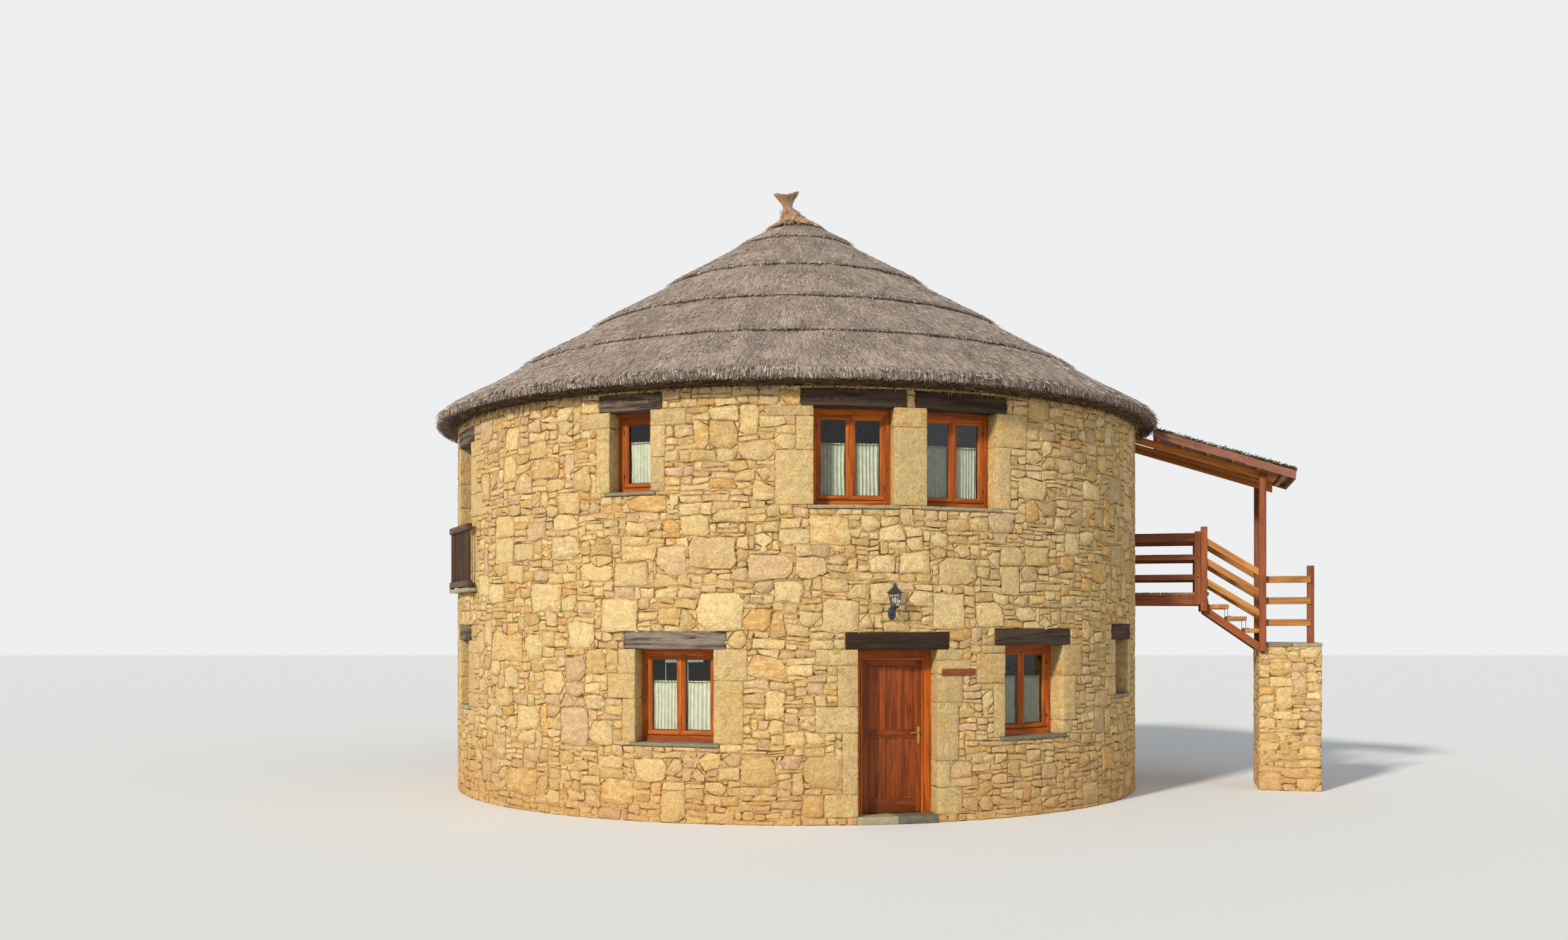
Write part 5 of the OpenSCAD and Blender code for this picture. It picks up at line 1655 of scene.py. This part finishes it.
deck = Heap(86)
u = BRIDGE_END + 0.025
while u > WALL_R - 0.30:
    inner = u - BOARD_W

    def wall_cut(p, share, u=u):
        rim = wall_face(p[:, 1] + DECK_V, 0.002)
        return xyz(np.maximum(p[:, 0] + u - BOARD_W, rim) - u + BOARD_W, p[:, 1], p[:, 2])

    if inner > wall_face(DECK_V) or u > WALL_R:
        block(deck, landing((inner, DECK_V, DECK_Z - 0.045)), (BOARD_W, DECK_SPAN, 0.0445),
              shape=wall_cut, **dict(SAWN, step=0.09, edge=0.005))
    u -= BOARD_W + 0.006
piece("landing_deck_boards", deck, "board_timber", replaces="landing_deck")

carriage = Heap(87)
# Side of a stringer: points of (u, z)
STRINGER = np.array([(6.4905, 2.9745), (STAIR_U, 2.7847), (ABUT_U, 2.2672), (ABUT_U, 2.1322),
                     (6.43, 2.7175), (6.43, 2.8445), (6.4905, 2.8445)])
for v in (NEAR_V, FAR_BEAM_V):
    block(carriage, landing((4.98, v + 0.0005, 2.845)), (1.509, 0.069, 0.1495), **SAWN)
    p = np.concatenate([xyz(STRINGER[:, 0], v + w, STRINGER[:, 1]) for w in (0.0005, 0.0695)])
    fall = math.atan2(2.2672 - 2.7847, ABUT_U - STAIR_U)
    lengthwise = p[:, 0] * math.cos(fall) + p[:, 2] * math.sin(fall)
    across = -p[:, 0] * math.sin(fall) + p[:, 2] * math.cos(fall)
    n = len(STRINGER)
    carriage.add(placed(p, landing()),
                 [joined(2, n)[:, [0, 3, 2, 1]], *(f[:, ::-1] for f in end_faces(2, n))],
                 xyz(lengthwise, across, p[:, 1]))
for u in (5.52, 6.005, 6.40):
    block(carriage, landing((u, 0.411, 2.865)), (0.06, 0.958, 0.1295), grain_axis=1, **SAWN)
piece("landing_frame_timber", carriage, "post_timber", replaces="landing_frame")

treads = Heap(88)
plates = Heap(89)
for i in (1, 2, 3):
    u, z = STAIR_U + (i - 1) * GOING, DECK_Z - RISE * i
    block(treads, landing((u, DECK_V, z - 0.068)), (0.285, DECK_SPAN, 0.0675), grain_axis=1,
          **dict(SAWN, edge=0.010))
    if i > 1:
        for v in (DECK_V, 1.379):
            block(plates, landing((u + 0.004, v, z + 0.0005)), (0.005, 0.06, 0.118), edge=0.0015)
            block(plates, landing((u + 0.0095, v, z + 0.0005)), (0.05, 0.06, 0.005), edge=0.0015)
            for s in (0.015, 0.045):
                lathe(plates, landing((u + 0.034, v + s, z + 0.0055)),
                      [(0.007, 0), (0.007, 0.003), (0.004, 0.005)], 8)
piece("stair_tread_timber", treads, "rail_timber", replaces="stair_treads")
piece("tread_plates", plates, "dark_iron", replaces="tread_brackets")

landing_rails, stair_rails, fence = Heap(90), Heap(91), Heap(92)
head_posts, fence_post, bolts = Heap(100), Heap(101), Heap(93)
for v, middle, side in ((0.265, near_mid, -1), (1.465, far_mid, 1)):
    upright(landing_rails, END_POST_U, middle - side * 0.005, 2.845, 3.98, 0.0895)
    start = wall_face(v + (RAIL_T if side > 0 else 0), 0.004) + 0.004
    for z, h in ((3.825, 0.13), (3.54, 0.085), (3.23, 0.085)):
        rail(landing_rails, (start, v, z), (6.2995, z), RAIL_T, h)
    upright(head_posts, HEAD_POST_U, middle, 2.75, 4.05)
    for top in (3.87, 3.56, 3.25):
        rail(stair_rails, (6.4905, v, top - STAIR_RAIL_H), (7.2495, top - 0.585), RAIL_T,
             STAIR_RAIL_H)
    for u, zs in ((END_POST_U, (3.867, 3.913, 3.583, 3.273)), (HEAD_POST_U, (2.90, 2.80))):
        for z in zs:
            face = middle + side * POST / 2 - (side * 0.005 if u == END_POST_U else 0)
            lathe(bolts, landing((u, face, z)) @ lying(side),
                  [(0.011, -0.001), (0.011, 0.003), (0.006, 0.007)], 10)
piece("landing_rail_timber", landing_rails, "post_timber", replaces="landing_railing")
piece("stair_rail_timber", stair_rails, "rail_timber", replaces="stair_railing")
piece("head_post_timber", head_posts, "post_timber", replaces="stair_railing")
upright(fence_post, FENCE_U, 0.42, COPING_Z, 3.438)
for z in (3.175, 2.85, 2.517):
    rail(fence, (7.3505, 0.345, z), (8.0, z), 0.0245, 0.105)
piece("fence_rail_timber", fence, "rail_timber", replaces="fence_bay")
piece("fence_post_timber", fence_post, "post_timber", replaces="fence_bay")
piece("railing_bolts", bolts, "dark_iron")

# The stone abutment at the foot of the stair
abutment = Heap(94)
height = COPING_Z - 0.06
# Its faces: the corner they start from, turn, length
faces = [((ABUT_U, NEAR_V), 0, ABUT_LEN), ((ABUT_U + ABUT_LEN, NEAR_V), 90, ABUT_W),
         ((ABUT_U + ABUT_LEN, NEAR_V + ABUT_W), 180, ABUT_LEN),
         ((ABUT_U, NEAR_V + ABUT_W), 270, ABUT_W)]
for (u, v), turn, length in faces:
    reach = math.ceil(length / CELL) * CELL

    def on_face(s, z, up, u=u, v=v, turn=turn):
        a = math.radians(turn)
        return placed(xyz(u + s * math.cos(a) + up * math.sin(a),
                          v + s * math.sin(a) - up * math.cos(a), z), landing())

    def inside(s, z, length=length):
        return np.clip(np.minimum(np.minimum(s, length - s), np.minimum(z, height - z)) / 0.06,
                       0, 1)

    def hold(points, shift, scale=length / reach, inside=inside):
        at = points * [scale, 1]
        return at + shift * inside(*at.T)[:, None]

    laid = lay_rubble(reach, height, [], abutment.rng)
    stone_mesh(abutment, shaped(laid, [], 10 ** 6, hold, abutment.rng), on_face, inside,
               (0.004, 0.010))
piece("abutment_rubble", abutment, "rubble_stone", sharp=50)
coping = Heap(95)
for u, length in ((ABUT_U, 0.475), (7.731, 0.439)):
    for v, width in ((NEAR_V, 0.61), (0.956, 0.614)):
        block(coping, landing((u, v, COPING_Z - 0.0595)), (length - 0.004, width - 0.006, 0.0590),
              edge=0.007, step=0.08, rough=0.0028, lump=0.09)
piece("coping_slate", coping, "slate_stone", replaces="abutment_coping")


# The lamp over the door and the plank beside it

iron = Heap(96)
LAMP_A, LAMP_Z, LAMP_OUT = 12.5, 2.74, 0.15
mount = facing(LAMP_A)
lathe(iron, facing(LAMP_A, (0, -WALL_R + 0.002, LAMP_Z - 0.07))
      @ (lying(-1) @ np.diag([0.6, 1, 1, 1])),
      [(0.088, 0), (0.088, 0.012), (0.078, 0.017), (0.060, 0.018), (0.052, 0.024),
       (0.030, 0.026), (0.024, 0.032)], 40)
axis_y = -WALL_R - LAMP_OUT
arm = [(0, -WALL_R + 0.01, LAMP_Z - 0.07), (0, -WALL_R - 0.05, LAMP_Z - 0.072),
       (0, -WALL_R - 0.10, LAMP_Z - 0.078), (0, -WALL_R - 0.132, LAMP_Z - 0.074),
       (0, axis_y + 0.003, LAMP_Z - 0.052), (0, axis_y, LAMP_Z - 0.02),
       (0, axis_y, LAMP_Z + 0.002)]
tube(iron, placed(arm, mount), 0.0085, 10)
turns = np.linspace(0, 2.6 * math.pi, 34)
coil = 0.034 - 0.0036 * turns
scroll = xyz(0, -WALL_R - 0.058 + coil * np.cos(turns + 0.6),
             LAMP_Z - 0.118 + coil * np.sin(turns + 0.6))
tube(iron, placed(scroll, mount), np.linspace(0.006, 0.004, 34), 8)
lathe(iron, facing(LAMP_A, (0, axis_y, LAMP_Z)), [(0.012, -0.034), (0.020, -0.028),
      (0.014, -0.018), (0.030, -0.006), (0.040, 0.0)], 20)
stand = facing(LAMP_A, (0, axis_y, 0))
lathe(iron, stand, [(0.040, LAMP_Z), (0.047, LAMP_Z + 0.004), (0.047, LAMP_Z + 0.009),
                    (0.056, LAMP_Z + 0.014), (0.0575, LAMP_Z + 0.0215)], 6)
cap = [(0.060, 0.1885), (0.112, 0.1885), (0.113, 0.194), (0.104, 0.200), (0.086, 0.209),
       (0.066, 0.225), (0.055, 0.240), (0.042, 0.250), (0.030, 0.262), (0.021, 0.272),
       (0.018, 0.281)]
lathe(iron, stand, [(r, LAMP_Z + z) for r, z in cap], 6)
lathe(iron, stand, [(r, LAMP_Z + z) for r, z in ((0.017, 0.280), (0.021, 0.284),
      (0.021, 0.288), (0.010, 0.294), (0.013, 0.303), (0.011, 0.311), (0.004, 0.317),
      (0.004, 0.322))], 18)


def around_lamp(r, a, z):
    return r * math.cos(a), r * math.sin(a), LAMP_Z + z


for k in range(6):
    a = math.radians(60 * k)
    spoke = stand @ along(around_lamp(0.0475, a, 0.016), around_lamp(0.086, a, 0.194),
                          (math.cos(a), math.sin(a), 0))
    block(iron, shifted(spoke, 0, -0.0045, -0.0045), (0.1825, 0.009, 0.009), edge=0.0025)
    b = math.radians(60 * k + 60)
    for r, z, t in ((0.049, 0.026, 0.006), (0.0815, 0.183, 0.007), (0.0705, 0.131, 0.004)):
        bar = stand @ along(around_lamp(r, a, z), around_lamp(r, b, z))
        block(iron, shifted(bar, 0, -t / 2, -t / 2), (r, t, t), edge=0.0015)
lathe(iron, stand, [(0.012, LAMP_Z + 0.021), (0.012, LAMP_Z + 0.058), (0.009, LAMP_Z + 0.062)], 14)
piece("lamp_ironwork", iron, "lamp_iron", replaces="lamp_body")
bulb = Heap(97)
lathe(bulb, stand, [(0.009, LAMP_Z + 0.060), (0.014, LAMP_Z + 0.070), (0.024, LAMP_Z + 0.088),
                    (0.028, LAMP_Z + 0.104), (0.024, LAMP_Z + 0.120), (0.012, LAMP_Z + 0.131),
                    (0.003, LAMP_Z + 0.134)], 20)
piece("lamp_bulb", bulb, "curtain_cotton", sharp=180)

plank = Heap(98)
block(plank, facing(PLANK_A, (0, -WALL_R - 0.0195, 1.875)), (0.48, 0.019, 0.09), edge=0.006,
      step=0.05, rough=0.002, lump=0.15, centred="x")
piece("name_plank_timber", plank, "post_timber", replaces="name_plank")

repaint("slate_floor", "ground_floor")
repaint("floor_boards", "upper_floor")
repaint("roof_oak", "wall_plate", "rafters", "crown_block")
repaint("lamp_pane", "lamp_glass")


# Floor, light and camera

floor_mesh = bpy.data.meshes.new("studio_floor")
floor_mesh.from_pydata([(-80, -60, 0), (80, -60, 0), (80, 100, 0), (-80, 100, 0)], [],
                       [(0, 1, 2, 3)])
floor_paint = bpy.data.materials.new("floor_paint")
floor_paint.use_nodes = True
plug(floor_paint.node_tree.nodes["Principled BSDF"],
     {"Base Color": hue(226, 226, 224), "Roughness": 0.9})
floor_mesh.materials.append(floor_paint)
shown("studio_floor", floor_mesh)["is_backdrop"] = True

world = bpy.data.worlds.new("studio")
bpy.context.scene.world = world
world.use_nodes = True
sky = world.node_tree
sky.nodes.clear()
rays = put(sky, "LightPath").outputs
seen = sums("MAXIMUM", rays["Is Camera Ray"],
            sums("MAXIMUM", rays["Is Glossy Ray"], rays["Is Transmission Ray"]))
backdrop = put(sky, "Background", {0: hue(238, 239, 240), 1: 1.0}).outputs[0]
ambient = put(sky, "Background", {0: (0.86, 0.92, 1.0, 1), 1: 0.42}).outputs[0]
both = put(sky, "MixShader", {0: seen, 1: ambient, 2: backdrop}).outputs[0]
put(sky, "OutputWorld", {0: both})


def sun(name, energy, colour, turn, width):
    """A soft sun, with its turn and its width in degrees"""
    data = bpy.data.lights.new(name, "SUN")
    data.energy, data.color, data.angle = energy, colour, math.radians(width)
    shown(name, data).rotation_euler = [math.radians(a) for a in turn]


sun("key", 3.3, (1.0, 0.96, 0.88), (60, 0, -38), 5)
sun("fill", 0.4, (0.9, 0.95, 1.0), (60, 0, 50), 60)

# The camera: the photograph's width, height, focal length and horizon in its own pixels
PHOTO_W, PHOTO_H, FOCAL, HORIZON = 2476, 1484, 2207, 990
eye = bpy.data.cameras.new("eye")
eye.sensor_width = 36
eye.lens = 36 * FOCAL / PHOTO_W
eye.shift_y = (HORIZON - PHOTO_H / 2) / PHOTO_W
camera = shown("eye", eye)
camera.location = (-0.193, -22.98, 2.5)
camera.rotation_euler = (math.pi / 2, 0, 0)
bpy.context.scene.camera = camera
bpy.context.scene.view_settings.view_transform = "Standard"

bpy.context.view_layer.update()
low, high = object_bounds()
